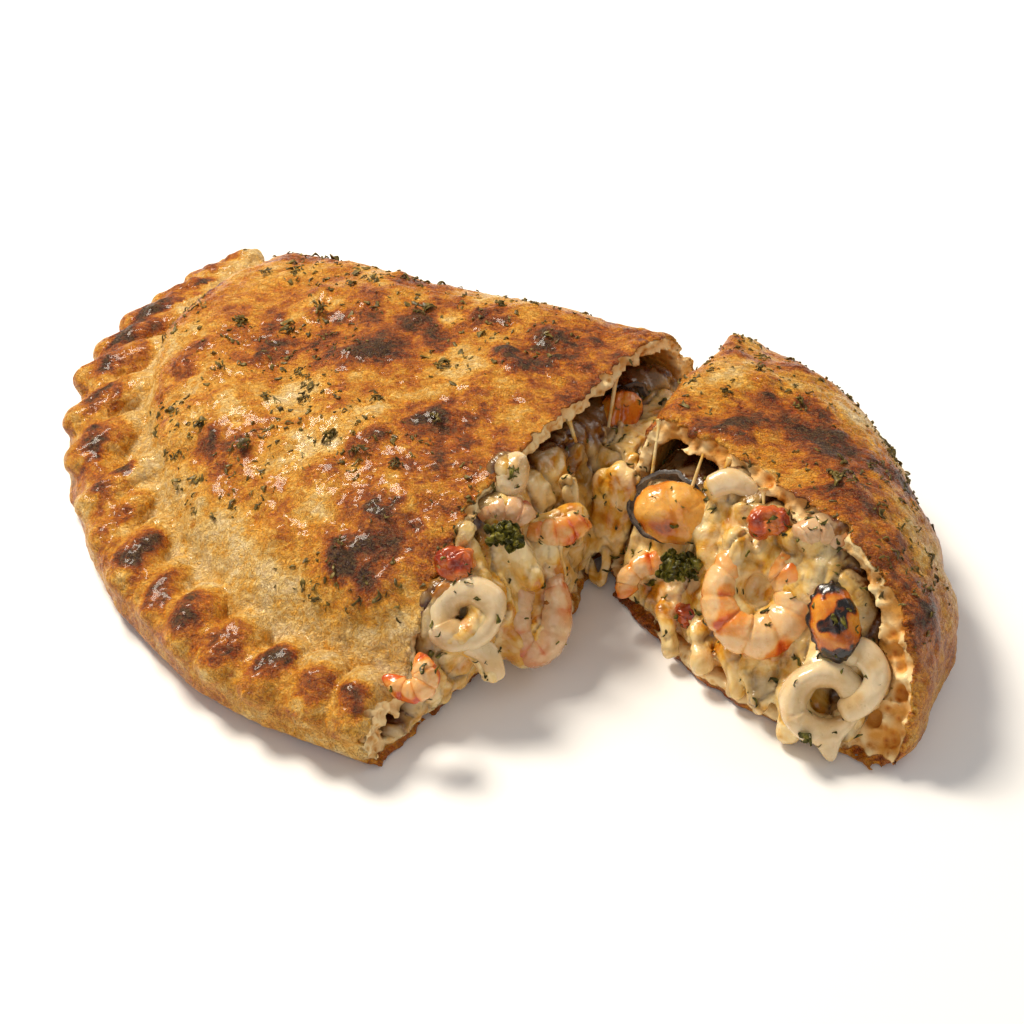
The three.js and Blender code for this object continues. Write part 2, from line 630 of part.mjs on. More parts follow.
// A closed lump with half sizes; a square one has flatter sides.
function lump(half, uneven, square, seed, rows = 5, sides = 9) {
  const power = square ? 0.62 : 1;
  const bent = (v) => Math.sign(v) * Math.abs(v) ** power;
  const rings = Array.from({ length: rows }, (_, r) => {
    const [cz, sz] = direction(mix(-90, 90, (r + 1) / (rows + 1)));
    return Array.from({ length: sides }, (_, k) => {
      const [c, s] = direction((360 * k) / sides);
      const swell = 1 + uneven * (2 * scatter(r * sides + k, seed) - 1);
      return [half[0] * bent(c * cz) * swell, half[1] * bent(s * cz) * swell, half[2] * bent(sz) * swell];
    });
  });
  return ringBody([0, 0, -half[2]], rings, [0, 0, half[2]]);
}

// Half of a mussel's shell: a thin pointed cup that opens towards +Z.
function halfShell([a, b, depth]) {
  const sides = 12;
  const ring = (level, shrink) =>
    Array.from({ length: sides }, (_, k) => {
      const [c, s] = direction((360 * k) / sides);
      const pointed = 1 - 0.16 * ((1 + s) / 2) ** 3;
      const [cz, sz] = direction(-90 * level);
      return [(a - shrink) * c * cz * pointed, (b - shrink) * s * cz, (depth - shrink) * sz];
    });
  const levels = [0.78, 0.46, 0.12];
  const outer = levels.map((level) => ring(level, 0));
  const inner = [...levels].reverse().map((level) => ring(level, SHELL_WALL));
  return ringBody([0, 0, -depth], [...outer, ...inner], [0, 0, SHELL_WALL - depth]);
}

// A thin wavy leaf with a lobed edge.
function leaf([length, width], seed) {
  const [rows, columns] = [4, 2];
  const points = [];
  for (const side of [-1, 1])
    for (let r = 0; r <= rows; r++)
      for (let c = 0; c <= columns; c++) {
        const t = r / rows;
        const lobes = 0.75 + 0.25 * Math.sin(t * 17 + seed);
        const across = (c / columns - 0.5) * width * Math.sin(Math.PI * mix(0.09, 0.93, t)) ** 0.7 * lobes;
        const along = (t - 0.5) * length;
        const wave = 0.9 * Math.sin(along * 0.9 + seed) + 0.8 * Math.cos(across * 1.1 + 2 * seed);
        points.push(along, across, wave + (side * LEAF_THICKNESS) / 2);
      }
  const faces = [];
  const at = (side, r, c) => (side * (rows + 1) + r) * (columns + 1) + c;
  const quad = (a, b, c, d) => faces.push(a, b, c, a, c, d);
  for (let r = 0; r < rows; r++)
    for (let c = 0; c < columns; c++) {
      quad(at(1, r, c), at(1, r + 1, c), at(1, r + 1, c + 1), at(1, r, c + 1));
      faces.push(at(0, r, c), at(0, r + 1, c + 1), at(0, r + 1, c), at(0, r, c), at(0, r, c + 1), at(0, r + 1, c + 1));
    }
  for (let r = 0; r < rows; r++) {
    quad(at(0, r, 0), at(0, r + 1, 0), at(1, r + 1, 0), at(1, r, 0));
    quad(at(0, r, columns), at(1, r, columns), at(1, r + 1, columns), at(0, r + 1, columns));
  }
  for (let c = 0; c < columns; c++) {
    quad(at(0, 0, c), at(1, 0, c), at(1, 0, c + 1), at(0, 0, c + 1));
    quad(at(0, rows, c), at(0, rows, c + 1), at(1, rows, c + 1), at(1, rows, c));
  }
  return solidOf(geometryOf(points, faces));
}

function herbClump({ at, leaf: size, seed }) {
  const leaves = [0, 1, 2].map((i) =>
    leaf(size, seed + i)
      .rotate([mix(-24, 24, i / 2), (i - 1) * 14, 62 * i + 25 * scatter(i, seed)])
      .translate([0, 0, 0.5 * i]),
  );
  return laid(Manifold.union(leaves), { at });
}

// ---- all of it together ----

const group = new THREE.Group();
const placed = new Map();

const near = (a, b) => {
  const [p, q] = [a.boundingBox(), b.boundingBox()];
  return [0, 1, 2].every((axis) => p.min[axis] < q.max[axis] + 1 && q.min[axis] < p.max[axis] + 1);
};

// The solid cut back to leave a gap to every piece placed so far; coarse is how plain the cuts may be.
function clear(solid, coarse = 0) {
  let rest = coarse ? solid.simplify(coarse) : solid;
  for (const [name, other] of placed) {
    if (!near(rest, other)) continue;
    const large = /^(crust|filling)/.test(name);
    rest = rest.subtract(grown(large ? other : other.simplify(coarse), GAP + coarse * 0.7));
  }
  return largest(rest);
}

// True where every edge has two faces once corners closer than 0.01 mm are merged.
function isSound(solid) {
  const { points, faces } = meshOf(solid);
  const keys = points.map((p) => [p.x, p.y, p.z].map((v) => Math.round(v * 100)).join());
  const uses = new Map();
  for (let i = 0; i < faces.length; i += 3)
    for (let k = 0; k < 3; k++) {
      const ends = [keys[faces[i + k]], keys[faces[i + ((k + 1) % 3)]]];
      if (ends[0] === ends[1]) return false;
      const edge = ends.sort().join("/");
      uses.set(edge, (uses.get(edge) ?? 0) + 1);
    }
  return [...uses.values()].every((n) => n === 2);
}

// The solid, made a little plainer until it is sound.
function sound(solid, smoothed) {
  let rest = solid;
  for (let extra = 0; extra < 14; extra++) {
    const { points, faces } = meshOf(rest);
    rest = largest(solidOf(geometryOf(points.flatMap((p) => [p.x, p.y, p.z]), faces)));
    if (isSound(rest)) return rest;
    rest = parted(largest(rest.simplify(mix(smoothed, 0.02, (extra % 4) / 4) + 0.02 * extra)));
  }
  return rest;
}

// The solid without the slivers that it still shares with pieces placed so far.
function parted(solid) {
  let rest = solid;
  for (const other of placed.values()) {
    if (!near(rest, other)) continue;
    const shared = rest.intersect(other);
    if (shared.volume() > 1e-3) for (const sliver of shared.decompose()) rest = rest.subtract(grown(sliver.hull(), GAP));
  }
  return largest(rest);
}

function add(name, made, colour, roughness, smoothed = SMOOTHED) {
  const solid = sound(parted(largest(made.simplify(smoothed))), smoothed);
  const { points, faces } = meshOf(solid);
  const geometry = geometryOf(points.flatMap((p) => [p.x, p.y, p.z]), faces);
  geometry.computeVertexNormals();
  const material = new THREE.MeshStandardMaterial({ color: colour, roughness, metalness: 0 });
  const mesh = new THREE.Mesh(geometry, material);
  mesh.name = name;
  group.add(mesh);
  placed.set(name, solid);
  if (!isSound(solid)) console.log("not sound", name);
}

const leftCrust = new Crust(LEFT_CRUST, LEFT_CUT);
const rightCrust = new Crust(RIGHT_CRUST, RIGHT_CUT);
const leftFront = [
  LEFT_CRUST.corner[0] + leftCrust.cutLength * leftCrust.cutDirection[0],
  LEFT_CRUST.corner[1] + leftCrust.cutLength * leftCrust.cutDirection[1],
];
const leftFace = new CutFace(leftFront, LEFT_CRUST.cutTurn - 180, LEFT_CUT.lean, LEFT_CUT);
const rightFace = new CutFace(RIGHT_CRUST.corner, RIGHT_CRUST.cutTurn, RIGHT_CUT.lean, RIGHT_CUT);

// Dried herb flakes that are baked into the top of a crust.
function flakes(crust, face, count, seed) {
  const found = [];
  for (let i = 0; found.length < count; i++) {
    const share = mix(0.06, 0.94, scatter(i, seed));
    const [c, s] = direction(mix(crust.size.cutTurn, crust.size.foldTurn, share));
    const radius = through(crust.size.rimRadii, share) * Math.sqrt(mix(0.03, 0.72, scatter(i, seed + 1)));
    const [x, y] = [crust.size.corner[0] + radius * c, crust.size.corner[1] + radius * s];
    const { rim, fold, cut } = crust.place(x, y);
    if (rim < 27 || fold < 9 || cut < 17) continue;
    const slope = [crust.top(x + 1, y) - crust.top(x - 1, y), crust.top(x, y + 1) - crust.top(x, y - 1)];
    const [length, width] = [mix(3, 6, scatter(i, seed + 2)), mix(1.6, 3, scatter(i, seed + 3))];
    const flake = Manifold.cube([length, width, 1.6], true)
      .rotate([0, 0, 360 * scatter(i, seed + 4)])
      .rotate([Math.atan(slope[1] / 2) / DEG, -Math.atan(slope[0] / 2) / DEG, 0])
      .translate([x, y, crust.top(x, y) - 0.1]);
    found.push(flake);
  }
  return found;
}

// A crust: its outside less the room inside and what lies past the cut, with its herb flakes.
function crustSolid(crust, face, count, seed) {
  const torn = face.past((along, up) => face.relief(along, up), 27, 7);
  const shell = crust.outside().subtract(crust.inside(0)).subtract(torn);
  return largest(Manifold.union([shell, ...flakes(crust, face, count, seed)]));
}

add("crust_left", crustSolid(leftCrust, leftFace, FLAKES_LEFT, 11), 0xd0913f, 0.55, 0.09);
add("crust_right", clear(crustSolid(rightCrust, rightFace, FLAKES_RIGHT, 23)), 0xd0913f, 0.55, 0.09);

const PRAWN = 0xe8a878;
const SQUID = 0xeee0bf;
const MUSSEL = 0xdba24e;
const TOMATO = 0xb43a1c;
const HERB = 0x3c4a22;
const SHELL = 0x1d1a1c;
const CHEESE = 0xeccf86;

for (const [name, spec] of Object.entries(PRAWNS)) add(name, clear(prawn(spec)), PRAWN, 0.35);
for (const [name, spec] of Object.entries(SQUID_RINGS)) add(name, clear(squidRing(spec)), SQUID, 0.3);
for (const [name, { meat, shell, tip, ...spec }] of Object.entries(MUSSELS)) {
  const body = lump(meat, 0.03, false, 5, 6, 10).translate([0, 0, 1]);
  const cup = halfShell([meat[0] + 2.4, meat[1] + 2.4, meat[2] + 2.2]).rotate([0, tip, 0]).translate(shell);
  add(`mussel_shell_${name}`, clear(laid(cup, spec)), SHELL, 0.25);
  add(`mussel_${name}`, clear(laid(body, spec)), MUSSEL, 0.35);
}
for (const [name, spec] of Object.entries(SQUID_STRIPS)) add(name, clear(squidStrip(spec)), SQUID, 0.3);
for (const [name, spec] of Object.entries(LUMPS)) {
  const body = lump(spec.half, spec.uneven, spec.square, spec.at[0]);
  add(name, clear(laid(body, spec)), name.startsWith("tomato") ? TOMATO : SQUID, 0.35);
}
for (const [name, spec] of Object.entries(HERB_CLUMPS)) add(name, clear(herbClump(spec)), HERB, 0.6);

// The filling: it stands out in mounds at the cut, and has sunk away from the top crust near the fold.
const mound = (along, up, [a, u], [wide, high]) => Math.exp(-(((along - a) / wide) ** 2) - ((up - u) / high) ** 2);
const leftRelief = (along, up) =>
  3 +
  6.5 * mound(along, up, [62, 15], [32, 18]) -
  16 * mound(along, up, [132, 46], [26, 13]) +
  0.9 * ripple(along, up, 11);
const rightRelief = (along, up) =>
  3.5 +
  5.5 * mound(along, up, [50, 12], [38, 18]) -
  17 * mound(along, up, [13, 50], [16, 11]) -
  9 * mound(along, up, [84, 32], [9, 9]) +
  0.9 * ripple(along, up, 11);
const leftFilling = leftCrust
  .inside(SHRINK, (x, y) => 5 * ease(70, 20, Math.hypot(x - 45, y - 15)))
  .subtract(leftFace.past(leftRelief, 23, 8));
const rightFilling = rightCrust
  .inside(SHRINK, (x, y) => 7 * ease(34, 10, Math.hypot(x - 52, y + 20)))
  .subtract(rightFace.past(rightRelief, 25, 9));
add("filling_left", clear(Manifold.union([leftFilling, ...THREADS_LEFT.map(strand)]), 0.6), CHEESE, 0.35, 0.35);
add("filling_right", clear(Manifold.union([rightFilling, ...THREADS_RIGHT.map(strand), ...DRIPS_RIGHT.map(strand)]), 0.6), CHEESE, 0.35, 0.35);

// The melted cheese that still joins the two pieces, open below at its front.
function cheeseBridge({ plan, front, heights, climb, under, sheet, thread }) {
  const inward = ([x, y]) => (x - front[0]) * leftFace.along.x + (y - front[1]) * leftFace.along.y;
  const top = (x, y) => mix(...heights, ease(-2, climb, inward([x, y]))) + 0.9 * ripple(x, y, 12);
  const low = (x, y) => mix(...under, ease(0, 20, inward([x, y])));
  const xs = plan.map((v) => v[0]);
  const ys = plan.map((v) => v[1]);
  const box = [Math.min(...xs) - 4, Math.min(...ys) - 4, Math.max(...xs) + 4, Math.max(...ys) + 4];
  const column = new CrossSection([plan], "NonZero").extrude(80).translate([0, 0, -1]);
  const body = column.intersect(hillBody(top, box, 6)).subtract(hillBody(low, box, 8));
  const drape = laid(lump(sheet.half, 0.12, false, 4), sheet);
  return Manifold.union([body, drape, strand(thread)]);
}
add("cheese_bridge", clear(cheeseBridge(BRIDGE), 0.6), CHEESE, 0.35, 0.35);

export default group;
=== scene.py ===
"""A baked seafood calzone, cut once from fold to rim and swung open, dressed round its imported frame.

Lengths in the classes are millimetres, as on a cook's ruler; every mesh is made in metres.
"""

import logging
import math
from collections.abc import Callable, Sequence
from dataclasses import dataclass, field
from enum import Enum
from functools import cached_property
from itertools import product

import bpy
import numpy as np
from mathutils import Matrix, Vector

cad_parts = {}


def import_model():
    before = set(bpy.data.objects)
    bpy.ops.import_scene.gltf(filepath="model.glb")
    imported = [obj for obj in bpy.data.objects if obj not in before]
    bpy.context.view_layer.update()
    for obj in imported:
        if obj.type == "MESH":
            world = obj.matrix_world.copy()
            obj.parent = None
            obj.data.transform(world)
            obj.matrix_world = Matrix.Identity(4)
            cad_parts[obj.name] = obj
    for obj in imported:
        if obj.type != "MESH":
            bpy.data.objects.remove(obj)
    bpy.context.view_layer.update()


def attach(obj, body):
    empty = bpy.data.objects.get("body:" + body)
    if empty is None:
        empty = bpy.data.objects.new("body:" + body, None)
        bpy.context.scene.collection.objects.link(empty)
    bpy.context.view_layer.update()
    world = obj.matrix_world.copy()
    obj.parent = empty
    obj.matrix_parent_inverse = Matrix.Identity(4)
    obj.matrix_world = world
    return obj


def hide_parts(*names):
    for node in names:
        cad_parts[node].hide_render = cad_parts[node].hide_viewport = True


LOG = logging.getLogger("calzone")
MM = 0.001
DEG = math.pi / 180
BODY = "root"
FACE_TILT = 50.0
RING_HOLLOW = (3.6, 3.8, -9.0)
Array = np.ndarray
Place = tuple[float, float, float]
Colour = tuple[float, float, float]


# ---- numbers ----


def clamp(x: Array) -> Array:
    """Holds values between 0 and 1."""
    return np.clip(x, 0.0, 1.0)


def mix(a: Array, b: Array, t: Array) -> Array:
    """The value a share t of the way from a to b."""
    return a + (b - a) * t


def ease(a: float, b: float, x: Array) -> Array:
    """A smooth step from 0 at a to 1 at b."""
    t = clamp((x - a) / (b - a))
    return t * t * (3 - 2 * t)


def soft_min(a: Array, b: Array, k: float) -> Array:
    """The lower of two values, rounded over a width k where they cross."""
    h = clamp(0.5 + 0.5 * (b - a) / k)
    return mix(b, a, h) - k * h * (1 - h)


def soft_max(a: Array, b: Array, k: float) -> Array:
    """The higher of two values, rounded over a width k where they cross."""
    return -soft_min(-a, -b, k)


def bump(x: Array, middle: float, width: float) -> Array:
    """A smooth hump of height 1 round a middle."""
    return np.exp(-(((x - middle) / width) ** 2))


def ripple(x: Array, y: Array, size: float) -> Array:
    """Smooth unevenness between about -1 and 1.

    Args:
        x: Place along the first axis.
        y: Place along the second axis.
        size: The distance from one rise to the next.

    Returns:
        The unevenness at each place.
    """
    u = x * 2 * math.pi / size
    v = y * 2 * math.pi / size
    return (
        0.4 * np.sin(u + 0.6 * np.sin(0.83 * v + 1.3))
        + 0.35 * np.sin(0.94 * v + 0.8 * np.sin(0.71 * u) + 2.1)
        + 0.25 * np.sin(0.67 * u - 1.21 * v + 0.7)
    )


def through(values: Sequence[float], t: Array) -> Array:
    """A smooth curve through evenly spaced values.

    Args:
        values: The values to pass through.
        t: Where to read the curve, from 0 to 1.

    Returns:
        The curve's value at each t.
    """
    points = np.asarray(values, dtype=float)
    last = len(points) - 1
    x = clamp(t) * last
    i = np.minimum(last - 1, np.floor(x)).astype(int)
    f = x - i
    p, q, r, s = (points[np.clip(i + k, 0, last)] for k in (-1, 0, 1, 2))
    return q + 0.5 * f * (r - p + f * (2 * p - 5 * q + 4 * r - s + f * (3 * (q - r) + s - p)))


def knots(x: Array, y: Array, z: Array, seed: int) -> Array:
    """A fixed value between -1 and 1 for each whole-numbered place."""
    whole = [np.asarray(v).astype(np.int64).astype(np.uint32) for v in (x, y, z)]
    h = whole[0] * np.uint32(374761393) ^ whole[1] * np.uint32(668265263) ^ whole[2] * np.uint32(2246822519)
    h = h ^ np.uint32((seed * 2654435761) % 2**32)
    h = (h ^ (h >> np.uint32(13))) * np.uint32(1274126177)
    h = (h ^ (h >> np.uint32(15))) * np.uint32(2246822519)
    return (h ^ (h >> np.uint32(16))).astype(np.float64) / 2**31 - 1


def cloud(points: Array, size: float, seed: int, layers: int = 2) -> Array:
    """Layered smooth noise between about -1 and 1.

    Args:
        points: Places, one row each.
        size: The size of the largest lumps.
        seed: Which noise.
        layers: How many ever finer layers are added.

    Returns:
        The noise at each place.
    """
    total = np.zeros(len(points))
    weight = 1.0
    for layer in range(layers):
        p = points * (2**layer / size) + 17.3 * layer + seed
        cell = np.floor(p)
        f = p - cell
        f = f * f * f * (f * (f * 6 - 15) + 10)
        value = np.zeros(len(points))
        for a, b, c in product((0, 1), repeat=3):
            share = (f[:, 0] if a else 1 - f[:, 0]) * (f[:, 1] if b else 1 - f[:, 1])
            share = share * (f[:, 2] if c else 1 - f[:, 2])
            value += share * knots(cell[:, 0] + a, cell[:, 1] + b, cell[:, 2] + c, seed + layer)
        total += weight * value
        weight *= 0.5
    return total * 1.5


def creases(points: Array, size: float, seed: int) -> Array:
    """Thin winding creases.

    Args:
        points: Places, one row each.
        size: How far apart they are.
        seed: Which creases.

    Returns:
        0 on open skin, 1 along each crease.
    """
    warped = points + 0.45 * size * np.stack(
        [
            cloud(points, size * 1.9, seed + 40),
            cloud(points, size * 1.9, seed + 41),
            cloud(points, size * 1.9, seed + 42),
        ],
        axis=1,
    )
    return clamp(1 - 3.2 * np.abs(cloud(warped, size, seed, 1)))


# ---- meshes ----


class Lattice:
    """A box of sample places, and the surface where a field of values on it crosses zero."""

    def __init__(self, low: Place, high: Place, pitch: float) -> None:
        """Lays the samples from low to high, a pitch apart."""
        self.low = np.array(low, dtype=float)
        self.pitch = pitch
        self.counts = [int(math.ceil((h - l) / pitch)) + 1 for l, h in zip(low, high)]
        axes = [self.low[k] + pitch * np.arange(self.counts[k]) for k in range(3)]
        self.x = axes[0][:, None, None]
        self.y = axes[1][None, :, None]
        self.z = axes[2][None, None, :]

    def window(self, middle: Place, reach: float) -> tuple[tuple[slice, ...], tuple[Array, ...]]:
        """The part of the lattice round a place.

        Args:
            middle: The place.
            reach: How far the part goes to each side.

        Returns:
            Its slices and its three axes.
        """
        spans = []
        for k in range(3):
            first = int(max(0, math.floor((middle[k] - reach - self.low[k]) / self.pitch)))
            last = int(min(self.counts[k], math.ceil((middle[k] + reach - self.low[k]) / self.pitch) + 1))
            spans.append(slice(first, max(first, last)))
        return tuple(spans), (self.x[spans[0]], self.y[:, spans[1]], self.z[:, :, spans[2]])

    def ball(self, values: Array, middle: Place, radius: float, k: float, add: bool) -> None:
        """Adds a ball to the field, or scoops one out.

        Args:
            values: The field, changed in place.
            middle: The ball's middle.
            radius: Its radius.
            k: The width of the blend.
            add: Whether it is added.
        """
        spans, (x, y, z) = self.window(middle, radius + 2 * k + 2 * self.pitch)
        away = np.sqrt((x - middle[0]) ** 2 + (y - middle[1]) ** 2 + (z - middle[2]) ** 2) - radius
        part = values[spans]
        values[spans] = soft_min(part, away, k) if add else soft_max(part, -away, k)

    def surface(self, values: Array) -> tuple[Array, Array]:
        """Draws the zero surface of a field.

        Args:
            values: The field on the lattice, below zero inside the body.

        Returns:
            The corners in millimetres and the four-sided faces.
        """
        inside = values < 0
        shape = [n - 1 for n in values.shape]
        filled = np.zeros(shape, dtype=np.int8)
        for a, b, c in product((0, 1), repeat=3):
            filled += inside[a : shape[0] + a, b : shape[1] + b, c : shape[2] + c]
        active = (filled > 0) & (filled < 8)
        cells = np.argwhere(active)
        index = np.full(shape, -1, dtype=np.int64)
        index[active] = np.arange(len(cells))
        total = np.zeros((len(cells), 3))
        hits = np.zeros(len(cells))
        for axis in range(3):
            others = [k for k in range(3) if k != axis]
            for p, q in product((0, 1), repeat=2):
                start = np.zeros(3, dtype=int)
                start[others[0]] = p
                start[others[1]] = q
                end = start.copy()
                end[axis] = 1
                a = values[tuple((cells + start).T)]
                b = values[tuple((cells + end).T)]
                cross = (a < 0) != (b < 0)
                t = a[cross] / (a[cross] - b[cross])
                spot = np.tile(start.astype(float), (len(t), 1))
                spot[:, axis] = t
                total[cross] += spot
                hits[cross] += 1
        corners = (cells + total / hits[:, None]) * self.pitch + self.low
        faces = []
        for axis in range(3):
            u, v = ((1, 2), (2, 0), (0, 1))[axis]
            ahead = [slice(None)] * 3
            behind = [slice(None)] * 3
            behind[axis] = slice(0, -1)
            ahead[axis] = slice(1, None)
            first = inside[tuple(behind)]
            edges = np.argwhere(first != inside[tuple(ahead)])
            for k in (u, v):
                edges = edges[(edges[:, k] > 0) & (edges[:, k] < shape[k])]
            step_u = np.zeros(3, dtype=int)
            step_u[u] = 1
            step_v = np.zeros(3, dtype=int)
            step_v[v] = 1
            quad = np.stack(
                [index[tuple((edges - s).T)] for s in (step_u + step_v, step_v, 0 * step_u, step_u)], axis=1
            )
            outward = first[tuple(edges.T)]
            quad[~outward] = quad[~outward][:, ::-1]
            faces.append(quad)
        return corners, np.concatenate(faces)


def new_object(name: str, corners: Array, faces: Array) -> bpy.types.Object:
    """Makes an object at the origin.

    Args:
        name: The object's name.
        corners: Its corners in millimetres.
        faces: The corners of each face, all of one length.

    Returns:
        The new object, linked to the scene.
    """
    mesh = bpy.data.meshes.new(name)
    sides = faces.shape[1]
    mesh.vertices.add(len(corners))
    mesh.vertices.foreach_set("co", (np.asarray(corners) * MM).ravel())
    mesh.loops.add(faces.size)
    mesh.loops.foreach_set("vertex_index", faces.ravel().astype(np.int32))
    mesh.polygons.add(len(faces))
    mesh.polygons.foreach_set("loop_start", np.arange(len(faces), dtype=np.int32) * sides)
    mesh.update(calc_edges=True)
    mesh.validate()
    made = bpy.data.objects.new(name, mesh)
    bpy.context.scene.collection.objects.link(made)
    mesh.shade_smooth()
    return made


def choose(piece: bpy.types.Object) -> None:
    """Selects one object alone and makes it the active one."""
    bpy.ops.object.select_all(action="DESELECT")
    piece.select_set(True)
    bpy.context.view_layer.objects.active = piece


def begin(name: str, operator: Callable[..., set[str]], **sizes: float) -> bpy.types.Object:
    """Adds a primitive to shape into a piece.

    Args:
        name: The piece's name.
        operator: The bpy.ops call that adds the primitive.
        **sizes: What the operator is given.

    Returns:
        The new object.
    """
    bpy.ops.object.select_all(action="DESELECT")
    operator(**sizes)
    made = bpy.context.object
    made.name = name
    made.data.name = name
    made.data.shade_smooth()
    return made


def begin_ball(name: str, segments: int, rings: int) -> bpy.types.Object:
    """Adds a ball of radius 1 to shape into a piece."""
    add = bpy.ops.mesh.primitive_uv_sphere_add
    return begin(name, add, segments=segments, ring_count=rings, radius=1.0)


def join_all(pieces: Sequence[bpy.types.Object], name: str) -> bpy.types.Object:
    """Joins pieces into the first of them.

    Args:
        pieces: The pieces, in order.
        name: The name of the joined piece.

    Returns:
        The joined piece.
    """
    bpy.ops.object.select_all(action="DESELECT")
    for piece in pieces:
        piece.select_set(True)
    bpy.context.view_layer.objects.active = pieces[0]
    bpy.ops.object.join()
    pieces[0].name = name
    return pieces[0]


def corners_of(piece: bpy.types.Object) -> Array:
    """The corners of a piece, one row each, in the mesh's own units."""
    numbers = np.empty(len(piece.data.vertices) * 3)
    piece.data.vertices.foreach_get("co", numbers)
    return numbers.reshape(-1, 3)


def normals_of(piece: bpy.types.Object) -> Array:
    """The normal at each corner of a piece."""
    numbers = np.empty(len(piece.data.vertices) * 3)
    piece.data.vertices.foreach_get("normal", numbers)
    return numbers.reshape(-1, 3)


def move_to(piece: bpy.types.Object, corners: Array) -> None:
    """Puts the corners of a piece at new places, given in millimetres."""
    piece.data.vertices.foreach_set("co", (corners * MM).ravel())
    piece.data.update()


def paint(piece: bpy.types.Object, name: str, values: Array) -> None:
    """Keeps one number per corner, for the piece's material to read."""
    layer = piece.data.attributes.new(name, "FLOAT", "POINT")
    layer.data.foreach_set("value", np.asarray(values, dtype=np.float32))


def finish_modifier(piece: bpy.types.Object, kind: str, **settings: object) -> None:
    """Adds a modifier with its settings and applies it."""
    choose(piece)
    modifier = piece.modifiers.new(kind.title(), kind)
    for key, value in settings.items():
        setattr(modifier, key, value)
    bpy.ops.object.modifier_apply(modifier=modifier.name)


def thin_out(piece: bpy.types.Object, hidden: Array, target: int) -> None:
    """Makes the hidden faces of a piece larger until it has a number of triangles.

    Args:
        piece: The piece.
        hidden: For each corner, 1 where nobody looks and 0 where the detail shows.
        target: The number of triangles to come down to.
    """
    count = sum(len(face.vertices) - 2 for face in piece.data.polygons)
    if count <= target:
        return
    group = piece.vertex_groups.new(name="hidden")
    for index in np.nonzero(hidden > 0.5)[0].tolist():
        group.add([index], 1.0, "REPLACE")
    finish_modifier(
        piece,
        "DECIMATE",
        ratio=target / count,
        vertex_group="hidden",
        vertex_group_factor=50.0,
        use_collapse_triangulate=True,
    )
    piece.vertex_groups.clear()
    piece.data.shade_smooth()


# ---- finishes ----


def srgb(r: int, g: int, b: int) -> tuple[float, float, float, float]:
    """A colour given as on a screen, as the linear values that nodes take."""
    linear = [
        c / 12.92 if c <= 0.04045 else ((c + 0.055) / 1.055) ** 2.4 for c in (r / 255, g / 255, b / 255)
    ]
    return (*linear, 1.0)


